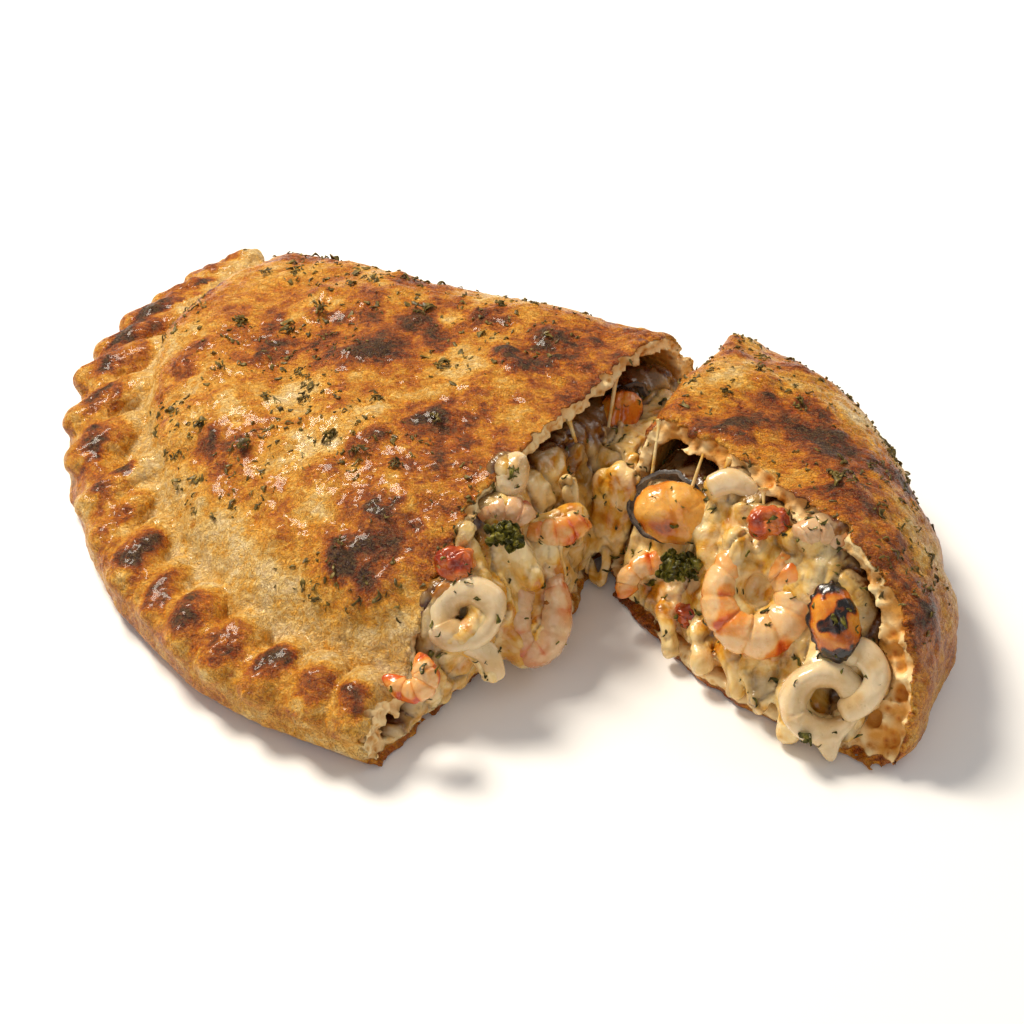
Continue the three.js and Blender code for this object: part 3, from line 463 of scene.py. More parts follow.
class Bench:
    """A workbench on which one procedural material is put together from nodes."""

    def __init__(self, name: str) -> None:
        """Starts a material with its shader and its object coordinates."""
        self.material = bpy.data.materials.new(name)
        self.material.use_nodes = True
        self.tree = self.material.node_tree
        self.shader = self.tree.nodes["Principled BSDF"]
        self.place = self.tree.nodes.new("ShaderNodeTexCoord").outputs["Object"]

    def feed(self, socket: bpy.types.NodeSocket, value: object) -> None:
        """Links a socket to another, or gives it a fixed value."""
        if isinstance(value, bpy.types.NodeSocket):
            self.tree.links.new(value, socket)
        else:
            socket.default_value = value

    def attribute(self, name: str) -> bpy.types.NodeSocket:
        """Reads a number painted on the corners."""
        node = self.tree.nodes.new("ShaderNodeAttribute")
        node.attribute_name = name
        return node.outputs["Fac"]

    def stretched(self, stretch: Place, turn: Place = (0, 0, 0)) -> bpy.types.NodeSocket:
        """Object coordinates that are turned, then stretched along each axis."""
        node = self.tree.nodes.new("ShaderNodeMapping")
        node.inputs["Scale"].default_value = stretch
        node.inputs["Rotation"].default_value = [angle * DEG for angle in turn]
        self.feed(node.inputs["Vector"], self.place)
        return node.outputs["Vector"]

    def noise(
        self,
        size: float,
        detail: float = 3.0,
        rough: float = 0.55,
        twist: float = 0.0,
        place: bpy.types.NodeSocket | None = None,
    ) -> bpy.types.NodeSocket:
        """Smooth noise.

        Args:
            size: The size of its lumps in millimetres.
            detail: How many finer layers it has.
            rough: How strong these are.
            twist: How far it is warped.
            place: The coordinates, if not the object's own.

        Returns:
            The noise, about 0.5 in the middle.
        """
        node = self.tree.nodes.new("ShaderNodeTexNoise")
        self.feed(node.inputs["Vector"], place or self.place)
        node.inputs["Scale"].default_value = 1000 / size
        node.inputs["Detail"].default_value = detail
        node.inputs["Roughness"].default_value = rough
        node.inputs["Distortion"].default_value = twist
        return node.outputs["Fac"]

    def lines(
        self, size: float, twist: float, width: float, place: bpy.types.NodeSocket
    ) -> bpy.types.NodeSocket:
        """Thin winding lines, 0 on a line and 1 beside it, about half a size apart."""
        away = self.sum("ABSOLUTE", self.sum("SUBTRACT", self.noise(size, 3, 0.55, twist, place), 0.5))
        return self.span(away, 0.0, width)

    def cells(
        self, size: float, feature: str = "F1", place: bpy.types.NodeSocket | None = None
    ) -> bpy.types.NodeSocket:
        """Distances in a pattern of cells of a size in millimetres."""
        node = self.tree.nodes.new("ShaderNodeTexVoronoi")
        node.feature = feature
        self.feed(node.inputs["Vector"], place or self.place)
        node.inputs["Scale"].default_value = 1000 / size
        return node.outputs["Distance"]

    def sum(self, operation: str, a: object, b: object = 0.0) -> bpy.types.NodeSocket:
        """One step of arithmetic on one or two numbers."""
        node = self.tree.nodes.new("ShaderNodeMath")
        node.operation = operation
        self.feed(node.inputs[0], a)
        self.feed(node.inputs[1], b)
        return node.outputs[0]

    def span(
        self, value: object, low: float, high: float, a: float = 0.0, b: float = 1.0
    ) -> bpy.types.NodeSocket:
        """Maps one range to another, and holds what lies outside.

        Args:
            value: The number.
            low: What becomes a.
            high: What becomes b.
            a: The first end.
            b: The second end.

        Returns:
            The mapped number.
        """
        node = self.tree.nodes.new("ShaderNodeMapRange")
        self.feed(node.inputs["Value"], value)
        for socket, number in zip(("From Min", "From Max", "To Min", "To Max"), (low, high, a, b)):
            node.inputs[socket].default_value = number
        return node.outputs["Result"]

    def ramp(
        self, value: object, stops: Sequence[tuple[float, tuple[int, int, int]]]
    ) -> bpy.types.NodeSocket:
        """Turns a number into a colour along a row of stops."""
        node = self.tree.nodes.new("ShaderNodeValToRGB")
        self.feed(node.inputs["Fac"], value)
        band = node.color_ramp
        while len(band.elements) < len(stops):
            band.elements.new(1.0)
        for element, (at, colour) in zip(band.elements, stops):
            element.position = at
            element.color = srgb(*colour)
        return node.outputs["Color"]

    def blend(self, share: object, a: object, b: object, mode: str = "MIX") -> bpy.types.NodeSocket:
        """Mixes two colours by a share."""
        node = self.tree.nodes.new("ShaderNodeMix")
        node.data_type = "RGBA"
        node.blend_type = mode
        for socket, value in zip((node.inputs[0], node.inputs[6], node.inputs[7]), (share, a, b)):
            self.feed(socket, value)
        return node.outputs[2]

    def relief(
        self, height: object, depth: float, strength: float = 1.0, under: bpy.types.NodeSocket | None = None
    ) -> bpy.types.NodeSocket:
        """Bumps the surface by a height pattern.

        Args:
            height: The pattern.
            depth: Its depth in millimetres.
            strength: Its share.
            under: The normal below it.

        Returns:
            The normal.
        """
        node = self.tree.nodes.new("ShaderNodeBump")
        self.feed(node.inputs["Height"], height)
        node.inputs["Distance"].default_value = depth * MM
        node.inputs["Strength"].default_value = strength
        if under is not None:
            self.feed(node.inputs["Normal"], under)
        return node.outputs["Normal"]

    def done(
        self, colour: bpy.types.NodeSocket, rough: object, normal: bpy.types.NodeSocket, **fixed: object
    ) -> bpy.types.Material:
        """Connects the shader, and sets its fixed values on its own sockets."""
        self.feed(self.shader.inputs["Base Color"], colour)
        self.feed(self.shader.inputs["Roughness"], rough)
        self.feed(self.shader.inputs["Normal"], normal)
        for key, value in fixed.items():
            self.feed(self.shader.inputs[key.replace("_", " ")], value)
        return self.material


@dataclass(frozen=True)
class CrustFinish:
    """Baked dough: browned skin over pale crumb, by the numbers bake and crumb on its corners, with painted
    shade in its folds, pores and holes and painted highlights along its flakes.
    """

    name: str = "baked_crust"
    grain: Place = (1.0, 1.0, 1.0)
    grain_turn: float = 0.0

    def material(self) -> bpy.types.Material:
        """Builds the material."""
        b = Bench(self.name)
        along = b.stretched(self.grain, (0, 0, self.grain_turn))
        fine = b.noise(2.8, 6, 0.66, 1.2, along)
        wide = b.noise(12, 4, 0.6, 0.6, along)
        speck = b.noise(1.0, 2, 0.6, 0.3)
        bake = b.sum("ADD", b.attribute("bake"), b.span(fine, 0.3, 0.7, -0.2, 0.2))
        bake = b.sum("ADD", bake, b.span(wide, 0.3, 0.7, -0.11, 0.11))
        skin = b.ramp(
            bake,
            [
                (0.0, (252, 222, 164)),
                (0.17, (246, 204, 122)),
                (0.34, (236, 172, 62)),
                (0.5, (216, 136, 22)),
                (0.64, (186, 96, 10)),
                (0.78, (138, 56, 6)),
                (0.9, (90, 34, 8)),
                (1.0, (54, 24, 12)),
            ],
        )
        skin = b.blend(b.span(speck, 0.6, 0.7, 0.0, 0.4), skin, srgb(138, 70, 18))
        folds = b.lines(3.6, 2.4, 0.07, along)
        flakes = b.lines(1.9, 1.8, 0.09, along)
        # Painted shade: the skin is darkened along the fold lines, where the relief dips.
        skin = b.blend(b.span(folds, 0.0, 1.0, 0.34, 0.0), skin, srgb(176, 96, 36), "MULTIPLY")
        # Painted highlight: the skin is lightened along the flake lines.
        skin = b.blend(b.span(flakes, 0.0, 1.0, 0.12, 0.0), skin, srgb(255, 214, 140))
        pores = b.cells(2.3)
        # The crumb is darker at the middle of each pore, where the relief dips: painted shade in the pores.
        crumb = b.ramp(
            b.sum("ADD", b.span(pores, 0.0, 0.55), b.span(b.noise(5, 4), 0.3, 0.7, -0.25, 0.2)),
            [(0.0, (206, 146, 70)), (0.35, (238, 190, 116)), (0.8, (252, 222, 164))],
        )
        # Painted shade: the crumb is darkened inside the scooped holes, by the number painted on the
        # corners there.
        crumb = b.blend(b.attribute("pit_shade"), crumb, srgb(222, 176, 104), "MULTIPLY")
        share = b.span(b.sum("ADD", b.attribute("crumb"), b.span(fine, 0.3, 0.7, -0.2, 0.2)), 0.35, 0.65)
        colour = b.blend(share, skin, crumb)
        rough = b.sum("ADD", b.span(share, 0, 1, 0.32, 0.6), b.span(speck, 0.3, 0.7, -0.1, 0.14))
        baked = b.span(share, 0.0, 1.0, 1.0, 0.15)
        normal = b.relief(b.sum("MULTIPLY", b.noise(2.2, 4, 0.62, 1.2, along), baked), 0.6, 0.8)
        normal = b.relief(b.sum("MULTIPLY", folds, baked), 0.3, 0.7, normal)
        normal = b.relief(b.sum("MULTIPLY", flakes, baked), 0.26, 0.8, normal)
        normal = b.relief(b.sum("MULTIPLY", b.noise(1.1, 3, 0.66, 1.0), baked), 0.32, 0.8, normal)
        normal = b.relief(b.sum("MULTIPLY", b.span(pores, 0.0, 0.5), share), 0.6, 0.6, normal)
        return b.done(colour, rough, normal, Coat_Weight=0.13, Coat_Roughness=0.08, Specular_IOR_Level=0.24)


@dataclass(frozen=True)
class CheeseFinish:
    """Melted cheese: pale cream with yellow oily patches and a few toasted ones, with painted shade, by the
    number deep on its corners, in its hollows, creases and gaps.
    """

    name: str = "melted_cheese"

    def material(self) -> bpy.types.Material:
        """Builds the material."""
        b = Bench(self.name)
        patches = b.noise(11, 4, 0.55, 0.8)
        colour = b.ramp(
            patches,
            [
                (0.38, (240, 212, 152)),
                (0.48, (232, 192, 112)),
                (0.56, (218, 160, 54)),
                (0.64, (198, 122, 18)),
                (0.78, (150, 76, 10)),
            ],
        )
        cream = b.span(b.noise(6, 3, 0.5, 0.5), 0.5, 0.62)
        colour = b.blend(b.sum("MULTIPLY", cream, 0.55), colour, srgb(246, 220, 168))
        # Painted shade: the cheese is darkened by the number deep on its corners, in its hollows, creases
        # and gaps.
        shade = b.attribute("deep")
        colour = b.blend(shade, colour, srgb(88, 48, 12), "MULTIPLY")
        rough = b.span(b.noise(4, 3), 0.3, 0.7, 0.14, 0.34)
        normal = b.relief(b.noise(3.5, 4, 0.55, 0.9), 0.9, 0.6)
        normal = b.relief(b.noise(0.9, 2, 0.5), 0.12, 0.4, normal)
        return b.done(
            colour,
            rough,
            normal,
            Subsurface_Weight=0.18,
            Subsurface_Radius=(1.0, 0.6, 0.25),
            Subsurface_Scale=0.002,
            Coat_Weight=0.35,
            Coat_Roughness=0.1,
        )


@dataclass(frozen=True)
class FleshFinish:
    """Moist flesh whose colour goes from pale to deep by the number blush on its corners."""

    name: str
    stops: tuple[tuple[float, tuple[int, int, int]], ...]
    fleck: tuple[int, int, int] = (200, 120, 60)
    fleck_share: float = 0.2
    rough: tuple[float, float] = (0.16, 0.34)
    glow: float = 0.2
    skin_size: float = 2.0
    skin_depth: float = 0.25

    def material(self) -> bpy.types.Material:
        """Builds the material."""
        b = Bench(self.name)
        drift = b.span(b.noise(4.5, 4, 0.6, 0.5), 0.3, 0.7, -0.14, 0.14)
        colour = b.ramp(b.sum("ADD", b.attribute("blush"), drift), self.stops)
        spots = b.span(b.noise(1.3, 3, 0.6, 0.8), 0.62, 0.7, 0.0, self.fleck_share)
        colour = b.blend(spots, colour, srgb(*self.fleck))
        rough = b.span(b.noise(3, 3), 0.3, 0.7, *self.rough)
        normal = b.relief(b.noise(self.skin_size, 3, 0.55, 0.8), self.skin_depth, 0.6)
        return b.done(
            colour,
            rough,
            normal,
            Subsurface_Weight=self.glow,
            Subsurface_Radius=(1.0, 0.5, 0.22),
            Subsurface_Scale=0.002,
            Coat_Weight=0.4,
            Coat_Roughness=0.08,
        )


@dataclass(frozen=True)
class ShellFinish:
    """Mussel shell: blue-black with growth lines outside, pearly inside, by the number inner."""

    name: str = "black_shell"

    def material(self) -> bpy.types.Material:
        """Builds the material."""
        b = Bench(self.name)
        lines = b.noise(2.5, 4, 0.6, 0.6)
        outside = b.ramp(lines, [(0.3, (20, 18, 22)), (0.55, (44, 40, 44)), (0.72, (92, 80, 72))])
        inside = b.ramp(b.noise(4, 3), [(0.3, (52, 48, 48)), (0.7, (128, 118, 106))])
        colour = b.blend(b.attribute("inner"), outside, inside)
        normal = b.relief(b.noise(1.4, 3, 0.6, 0.6), 0.25, 0.6)
        return b.done(
            colour, b.span(lines, 0.3, 0.7, 0.18, 0.36), normal, Coat_Weight=0.4, Coat_Roughness=0.08
        )


@dataclass(frozen=True)
class HerbFinish:
    """Parsley: dark and moist in the filling, olive and dry on the crust."""

    name: str
    stops: tuple[tuple[float, tuple[int, int, int]], ...]
    rough: float = 0.5

    def material(self) -> bpy.types.Material:
        """Builds the material."""
        b = Bench(self.name)
        colour = b.ramp(b.noise(2.2, 4, 0.6, 0.5), self.stops)
        rough = b.span(b.noise(2, 2), 0.3, 0.7, self.rough - 0.1, self.rough + 0.12)
        normal = b.relief(b.noise(1.0, 3, 0.6), 0.2, 0.7)
        return b.done(colour, rough, normal, Coat_Weight=0.06, Coat_Roughness=0.15, Specular_IOR_Level=0.25)


class Finish(Enum):
    """The finishes of the whole calzone."""

    LEFT_CRUST = CrustFinish("baked_crust_left", (1.0, 1.35, 1.0), 30.0)
    RIGHT_CRUST = CrustFinish("baked_crust_right", (0.72, 1.4, 1.0), 46.0)
    CHEESE = CheeseFinish()
    PRAWN = FleshFinish(
        "prawn_flesh",
        (
            (0.0, (238, 202, 152)),
            (0.3, (236, 184, 118)),
            (0.55, (230, 146, 60)),
            (0.8, (218, 100, 24)),
            (1.0, (192, 68, 14)),
        ),
        fleck=(224, 120, 50),
        fleck_share=0.35,
    )
    PINK_PRAWN = FleshFinish(
        "pink_prawn_flesh",
        (
            (0.0, (224, 186, 140)),
            (0.35, (218, 166, 116)),
            (0.6, (208, 130, 76)),
            (0.85, (194, 88, 36)),
            (1.0, (168, 60, 20)),
        ),
        fleck=(208, 110, 60),
        fleck_share=0.3,
    )
    SQUID = FleshFinish(
        "squid_flesh",
        ((0.0, (236, 210, 166)), (0.5, (222, 186, 130)), (1.0, (194, 146, 84))),
        fleck=(176, 132, 66),
        fleck_share=0.25,
        glow=0.22,
        skin_depth=0.15,
    )
    MUSSEL = FleshFinish(
        "mussel_flesh",
        (
            (0.0, (238, 176, 84)),
            (0.3, (226, 148, 44)),
            (0.58, (196, 96, 14)),
            (0.78, (108, 46, 12)),
            (0.95, (24, 17, 16)),
        ),
        fleck=(170, 96, 40),
        fleck_share=0.4,
        skin_depth=0.4,
    )
    TOMATO = FleshFinish(
        "baked_tomato",
        ((0.0, (216, 120, 48)), (0.4, (186, 76, 16)), (0.8, (146, 42, 8)), (1.0, (86, 22, 8))),
        fleck=(220, 126, 60),
        fleck_share=0.5,
        glow=0.15,
        skin_depth=0.5,
    )
    SHELL = ShellFinish()
    FRESH_HERB = HerbFinish(
        "baked_parsley",
        ((0.3, (34, 31, 8)), (0.48, (70, 66, 16)), (0.62, (118, 110, 34)), (0.78, (168, 152, 70))),
        0.4,
    )
    DRIED_HERB = HerbFinish(
        "dried_parsley",
        ((0.3, (58, 44, 18)), (0.48, (92, 76, 32)), (0.62, (132, 112, 52)), (0.78, (178, 154, 92))),
        0.5,
    )

    def material(self) -> bpy.types.Material:
        """The finish's material, made at its first use."""
        return bpy.data.materials.get(self.value.name) or self.value.material()


def dress(piece: bpy.types.Object, finish: Finish, slot: str, *nodes: str) -> bpy.types.Object:
    """Gives a piece its finish and its body, and hides the solids that it stands for.

    Args:
        piece: The piece.
        finish: Its finish.
        slot: The record's material slot; not used.
        *nodes: The CAD nodes that it replaces.

    Returns:
        The same piece.
    """
    piece.data.materials.clear()
    piece.data.materials.append(finish.material())
    if nodes:
        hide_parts(*nodes)
    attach(piece, BODY)
    LOG.info("%s: %d faces", piece.name, len(piece.data.polygons))
    return piece


# ---- the crusts ----


@dataclass(frozen=True)
class CutFace:
    """A cut face; places on it are along, up and out towards the open side."""

    origin: tuple[float, float]
    turn: float
    lean: float
    lip: tuple[float, float, float]

    def axes(self) -> tuple[Array, Array, Array]:
        """The directions along, up and out."""
        c, s = math.cos(self.turn * DEG), math.sin(self.turn * DEG)
        along = np.array([c, s, 0.0])
        up = (
            math.sin(self.lean * DEG) * np.array([-s, c, 0.0]) + np.array([0, 0, math.cos(self.lean * DEG)])
        )
        return along, up, np.cross(along, up)

    def place(self, x: Array, y: Array, z: Array) -> tuple[Array, Array, Array]:
        """Where places lie on the face: along, up and out."""
        px, py = x - self.origin[0], y - self.origin[1]
        along, up, out = self.axes()
        return tuple(px * axis[0] + py * axis[1] + z * axis[2] for axis in (along, up, out))

    def at(self, along: float, up: float, out: float) -> Array:
        """The place that lies along, up and out on the face."""
        a, u, o = self.axes()
        return np.array([self.origin[0], self.origin[1], 0.0]) + along * a + up * u + out * o

    def relief(self, along: Array, up: Array) -> Array:
        """How far the torn crust stands out of the face."""
        lip, lip_at, lip_width = self.lip
        bulge = lip * bump(along, lip_at, lip_width) * np.exp(-((up / 16) ** 2))
        torn = 0.9 * ripple(along, up * 1.7, 13) + 0.5 * ripple(along + 40, up * 1.4, 4.7)
        return bulge + torn


@dataclass(frozen=True)
class Crimp:
    """One pinched fold of the rim.

    The start and the toe are shares of the turn from the cut to the fold. The root and the reach are
    distances from the rim, and the depths say how far both ends of the middle line lie under the top.
    """

    start: float
    toe: float
    reach: float
    radius: float = 6.0
    root: float = 4.8
    root_depth: float = 2.9
    toe_depth: float = 0.4


@dataclass(frozen=True)
class Blister:
    """A place where the skin rose and browned: its middle, its radius, its height and how dark it is."""

    x: float
    y: float
    radius: float
    height: float
    dark: float


@dataclass
class Crust:
    """One piece of crust, made as the CAD's is, with finer forms.

    Turns are degrees round the corner where fold and cut meet. Each hole in the crumb is given by its
    place along and up the cut face, and its radius.
    """

    name: str
    node: str
    finish: Finish
    face: CutFace
    corner: tuple[float, float]
    cut_turn: float
    fold_turn: float
    rim_radii: tuple[float, ...]
    dome: float
    drop: float
    rim_height: float
    rim_rise: float
    rise_width: float
    rise_bend: float
    rise_steep: float
    fold_width: float
    fold_steep: float
    crimp_width: float
    thickness: float
    end: float
    fold_wall: float
    box: tuple[Place, Place]
    pleat: float = 0.0
    wall: float = 9.0
    base: float = 4.0
    pitch: float = 0.8
    triangles: int = 190000
    crimps: Sequence[Crimp] = ()
    blisters: Sequence[Blister] = ()
    holes: Sequence[Place] = ()
    valley: float = 0.0
    valley_at: float = 20.5
    valley_width: float = 6.5
    ledge: float = 0.0
    bubbles: float = 1.0

    def place(self, x: Array, y: Array) -> tuple[Array, Array, Array, Array]:
        """Where places lie: share of the turn from cut to fold, and distance from rim, fold and cut."""
        px, py = x - self.corner[0], y - self.corner[1]
        middle = (self.cut_turn + self.fold_turn) / 2
        turn = np.degrees(np.arctan2(py, px))
        turn = turn + 360 * np.round((middle - turn) / 360)
        share = (turn - self.cut_turn) / (self.fold_turn - self.cut_turn)
        rim = through(self.rim_radii, share) - np.hypot(px, py)
        sense = math.copysign(1, self.fold_turn - self.cut_turn)
        fx, fy = math.cos(self.fold_turn * DEG), math.sin(self.fold_turn * DEG)
        fold = px * fy * sense - py * fx * sense
        cx, cy = math.cos(self.cut_turn * DEG), math.sin(self.cut_turn * DEG)
        return share, rim, fold, np.abs(px * cy - py * cx)

    def top(self, x: Array, y: Array) -> Array:
        """The height of the crust's top without its crimps."""
        share, rim, fold, cut = self.place(x, y)
        rim_height = self.rim_height + self.rim_rise * ease(0.4, 0.85, share)
        dome = self.dome - self.drop * ease(10, 130, cut) + 1.3 * ripple(x, y, 46)
        shoulder = clamp(rim / 9) ** 0.5
        fade = ease(1.02, 0.88, share)
        dip = self.valley * bump(rim, self.valley_at, self.valley_width) * fade
        bank = 0.7 * ease(0, 5, rim) * ease(14, 8, rim) * fade * (self.crimp_width > 0)
        ledge = self.ledge * ease(23.5, 27, rim) * ease(70, 34, rim) * ease(0.4, 0.52, share) * fade
        climb = clamp((rim - self.crimp_width * 0.9) / self.rise_width)
        rise = (1 - (1 - climb) ** self.rise_bend) ** self.rise_steep
        start = mix(self.wall, rim_height - 3.5, shoulder)
        from_rim = mix(start, dome, rise) - dip + ledge + bank
        up = (1 - (1 - clamp(fold / self.fold_width)) ** 3.2) ** self.fold_steep
        return soft_min(from_rim, mix(self.wall, dome + 2, up), 9)

    def spot(self, share: float, rim: float) -> tuple[float, float]:
        """The place on the plan with a share of the turn and a distance from the rim."""
        radius = float(through(self.rim_radii, np.array([share]))[0]) - rim
        turn = mix(self.cut_turn, self.fold_turn, share) * DEG
        return self.corner[0] + radius * math.cos(turn), self.corner[1] + radius * math.sin(turn)

    @cached_property
    def folds(self) -> list[tuple[Array, Array, Crimp]]:
        """The two ends of each crimp's middle line."""
        ends = []
        for crimp in self.crimps:
            line = []
            root = (crimp.start, crimp.root, crimp.root_depth)
            toe = (crimp.toe, crimp.reach - crimp.radius, crimp.toe_depth)
            for share, rim, depth in (root, toe):
                x, y = self.spot(share, rim)
                height = float(self.top(np.array([x]), np.array([y]))[0]) - depth
                line.append(np.array([x, y, height]))
            ends.append((line[0], line[1], crimp))
        return ends

    def outer(self, x: Array, y: Array, z: Array) -> Array:
        """How far places lie outside the whole uncut crust."""
        _, rim, fold, _ = self.place(x, y)
        length = self.rim_radii[-1]
        along = clamp(np.hypot(x - self.corner[0], y - self.corner[1]) / length)
        edge = soft_min(rim, fold + 3 * np.sin(math.pi * along), 6)
        inset = 4.5 * (1 - clamp(z / 5)) ** 2
        step = 0.8
        top = self.top(x, y)
        slope = np.hypot(self.top(x + step, y) - top, self.top(x, y + step) - top) / step
        lid = (z - top) / np.sqrt(1 + np.minimum(slope, 5) ** 2)
        shape = np.maximum(soft_max(inset - edge, lid, 2.5), -z)
        for a, b, crimp in self.folds:
            shape = soft_min(shape, self.crimp_distance(a, b, crimp, x, y, z), 1.5)
        return np.maximum(shape, -z)

    def crimp_distance(self, a: Array, b: Array, crimp: Crimp, x: Array, y: Array, z: Array) -> Array:
        """How far places lie from the skin of one crimp.

        Args:
            a: The root of its middle line.
            b: The toe.
            crimp: The crimp.
            x: Places.
            y: Places.
            z: Places.

        Returns:
            The distances, below zero inside.
        """
        line = b - a
        t = clamp(((x - a[0]) * line[0] + (y - a[1]) * line[1] + (z - a[2]) * line[2]) / float(line @ line))
        away = np.sqrt(
            (x - a[0] - t * line[0]) ** 2
            + (y - a[1] - t * line[1]) ** 2
            + (1.15 * (z - a[2] - t * line[2])) ** 2
        )
        return away - crimp.radius * (0.94 + 0.12 * np.sin(math.pi * t))

    def room(self, x: Array, y: Array, z: Array, gap: float = 0.0) -> Array:
        """How far places lie outside the room for the filling."""
        _, rim, fold, _ = self.place(x, y)
        walls = soft_max(self.end + gap - rim, self.fold_wall + gap - fold, 6)
        uneven = 0.9 * ripple(x + 9, y, 17)
        roof = (z - self.top(x, y) + self.thickness + gap + uneven) * 0.85
        return np.maximum(soft_max(walls, roof, 6), self.base + gap - z)

    def crumb_holes(self, lattice: Lattice, shape: Array) -> None:
        """Scoops bubbles out of the crumb where the cut crosses the crust."""
        rng = np.random.default_rng(7)
        count = 5200
        along = rng.uniform(0, self.rim_radii[0], count)
        up = rng.uniform(1.5, 56, count)
        sizes = (0.6 + 1.1 * rng.random(count) ** 4) * self.bubbles
        axes = self.face.axes()
        out = self.face.relief(along, up) - rng.uniform(0.1, 0.7, count) * sizes
        spots = (
            self.face.at(0, 0, 0)
            + np.outer(along, axes[0])
            + np.outer(up, axes[1])
            + np.outer(out, axes[2])
        )
        deep = self.outer(*spots.T)
        good = (deep < -1.0) & (deep > -self.thickness - 9) & (self.room(*spots.T) > 0.6)
        for spot, size in zip(spots[good].tolist(), sizes[good].tolist()):
            lattice.ball(shape, tuple(spot), size, 0.5, False)
        for along, up, size in self.holes:
            for deeper in (0.3, 1.1):
                spot = self.face.at(along, up, float(self.face.relief(along, up)) - deeper * size)
                lattice.ball(shape, tuple(spot), size, 0.5, False)

    def build(self) -> bpy.types.Object:
        """Makes the crust and gives it its finish."""
        lattice = Lattice(*self.box, self.pitch)
        x, y, z = lattice.x, lattice.y, lattice.z
        shape = self.outer(x, y, z)
        shape = np.maximum(shape, -self.room(x, y, z))
        along, up, out = self.face.place(x, y, z)
        shape = soft_max(shape, out - self.face.relief(along, up), 0.6)
        self.crumb_holes(lattice, shape)
        corners, faces = lattice.surface(shape)
        piece = new_object(self.name, corners, faces)
        corners = corners_of(piece) / MM
        out = self.face.place(*corners.T)[2]
        depth = -self.outer(*corners.T)
        under = (normals_of(piece)[:, 2] < -0.8) & (corners[:, 2] < 3)
        thin_out(piece, np.where(((depth > 1.5) & (out < -16)) | under, 1.0, 0.0), self.triangles)
        keep_largest(piece)
        self.skin(piece)
        return dress(piece, self.finish, "crust", self.node)

    def skin(self, piece: bpy.types.Object) -> None:
        """Raises blisters and wrinkles on the skin, and paints how far it is baked, with a little painted
        shade along the wrinkles and painted shade inside the crumb's holes.
        """
        corners = corners_of(piece) / MM
        x, y, z = corners.T
        normals = normals_of(piece)
        depth = -self.outer(x, y, z)
        outside = 1 - ease(0.35, 1.1, depth)
        share, rim, _, cut = self.place(x, y)
        lifted = z - self.top(x, y)
        crimped = ease(0.3, 1.6, lifted) if self.crimps else np.zeros(len(x))
        side = ease(0.75, 0.2, normals[:, 2]) * ease(24, 8, rim)
        bake = (
            0.44
            + 0.19 * cloud(corners, 30, 3)
            + 0.14 * cloud(corners, 11, 5, 2)
            + 0.1 * cloud(corners, 4, 8)
        )
        wide = bump(share, 0.3, 0.24)
        pale = (
            bump(rim, self.valley_at + 4 * wide, 4.5 + 7.5 * wide)
            * ease(0.97, 0.8, share)
            * min(self.valley, 1.0)
        )
        bake = mix(bake, 0.12 + 0.07 * cloud(corners, 5, 6), clamp(1.2 * pale))
        ledge = 0.2 * self.ledge / 3.4 * bump(rim, 28, 2.2)
        bake = bake + ledge * ease(0.42, 0.52, share) * ease(0.97, 0.85, share)
        crown, toe = np.zeros(len(x)), np.zeros(len(x))
        for a, b, crimp in self.folds:
            half = float(np.linalg.norm(b - a)) / 2
            line = (b - a) / (2 * half)
            away = corners - (a + b) / 2
            ahead = away @ line
            across = np.abs(away[:, 0] * line[1] - away[:, 1] * line[0])
            across = across / math.hypot(line[0], line[1])
            top = bump(ahead, -2.2, half + 3.2) * np.exp(-((across / (0.8 * crimp.radius)) ** 4))
            crown = np.maximum(crown, top * ease(0.0, 4.2, away[:, 2]))
            toe = np.maximum(toe, ease(half - 3.4, half + 1.6, ahead) * (across < crimp.radius + 1))
        bake = mix(bake, 0.34 + 0.16 * cloud(corners, 6, 20), crimped)
        bake = mix(
            bake,
            0.47 + 0.14 * cloud(corners, 14, 9) + 0.08 * cloud(corners, 5, 10),
            0.85 * side * (1 - crown),
        )
        bake = mix(bake, 0.12, 0.95 * crimped * toe)
        bake = bake + crown * (1 - 0.7 * toe) * (0.44 + 0.16 * cloud(corners, 6, 21))
        raised = np.zeros(len(x))
        patchy = cloud(corners, 3.6, 33)
        for blister in self.blisters:
            away = (
                np.hypot(x - blister.x, y - blister.y)
                * (1 + 0.16 * cloud(corners, 7, int(abs(blister.x)) + 3))
            )
            hump = np.exp(-((away / (0.72 * blister.radius)) ** 2)) * (z > 12)
            halo = np.exp(-((away / (blister.radius * 1.9)) ** 2)) * (z > 12)
            raised += blister.height * hump
            bake = bake + blister.dark * (0.17 * halo + hump * (0.27 + 0.26 * patchy))
        bake = bake - 0.1 * ease(9, 2, cut)
        wrinkle = creases(corners * np.array([1.0, 1.25, 1.0]), 4.2, 31)
        flakes = creases(corners, 2.3, 57)
        rough = (
            ease(-0.2, 0.6, cloud(corners, 26, 12))
            * (1 - 0.6 * clamp(pale))
            * ease(0.1, 0.5, normals[:, 2])
        )
        push = raised + 0.55 * cloud(corners, 15, 14) + 0.28 * cloud(corners, 6, 15)
        push = (
            push
            - (0.5 * wrinkle + 0.3 * flakes) * (0.35 + 0.65 * rough)
            + 0.16 * cloud(corners, 2.2, 16, 1)
        )
        pleats = (
            self.pleat * np.sin(share * 36 + 2 * cloud(corners, 30, 18)) * ease(0.7, 0.2, normals[:, 2])
        )
        push = (push + pleats) * outside * ease(1.0, 5.0, z)
        move_to(piece, corners + normals * push[:, None])
        low = z + 0.9 * cloud(corners, 6, 29)
        base = ease(3.6, 1.8, low)
        bake = mix(bake, 0.6 + 0.12 * cloud(corners, 9, 24), base)
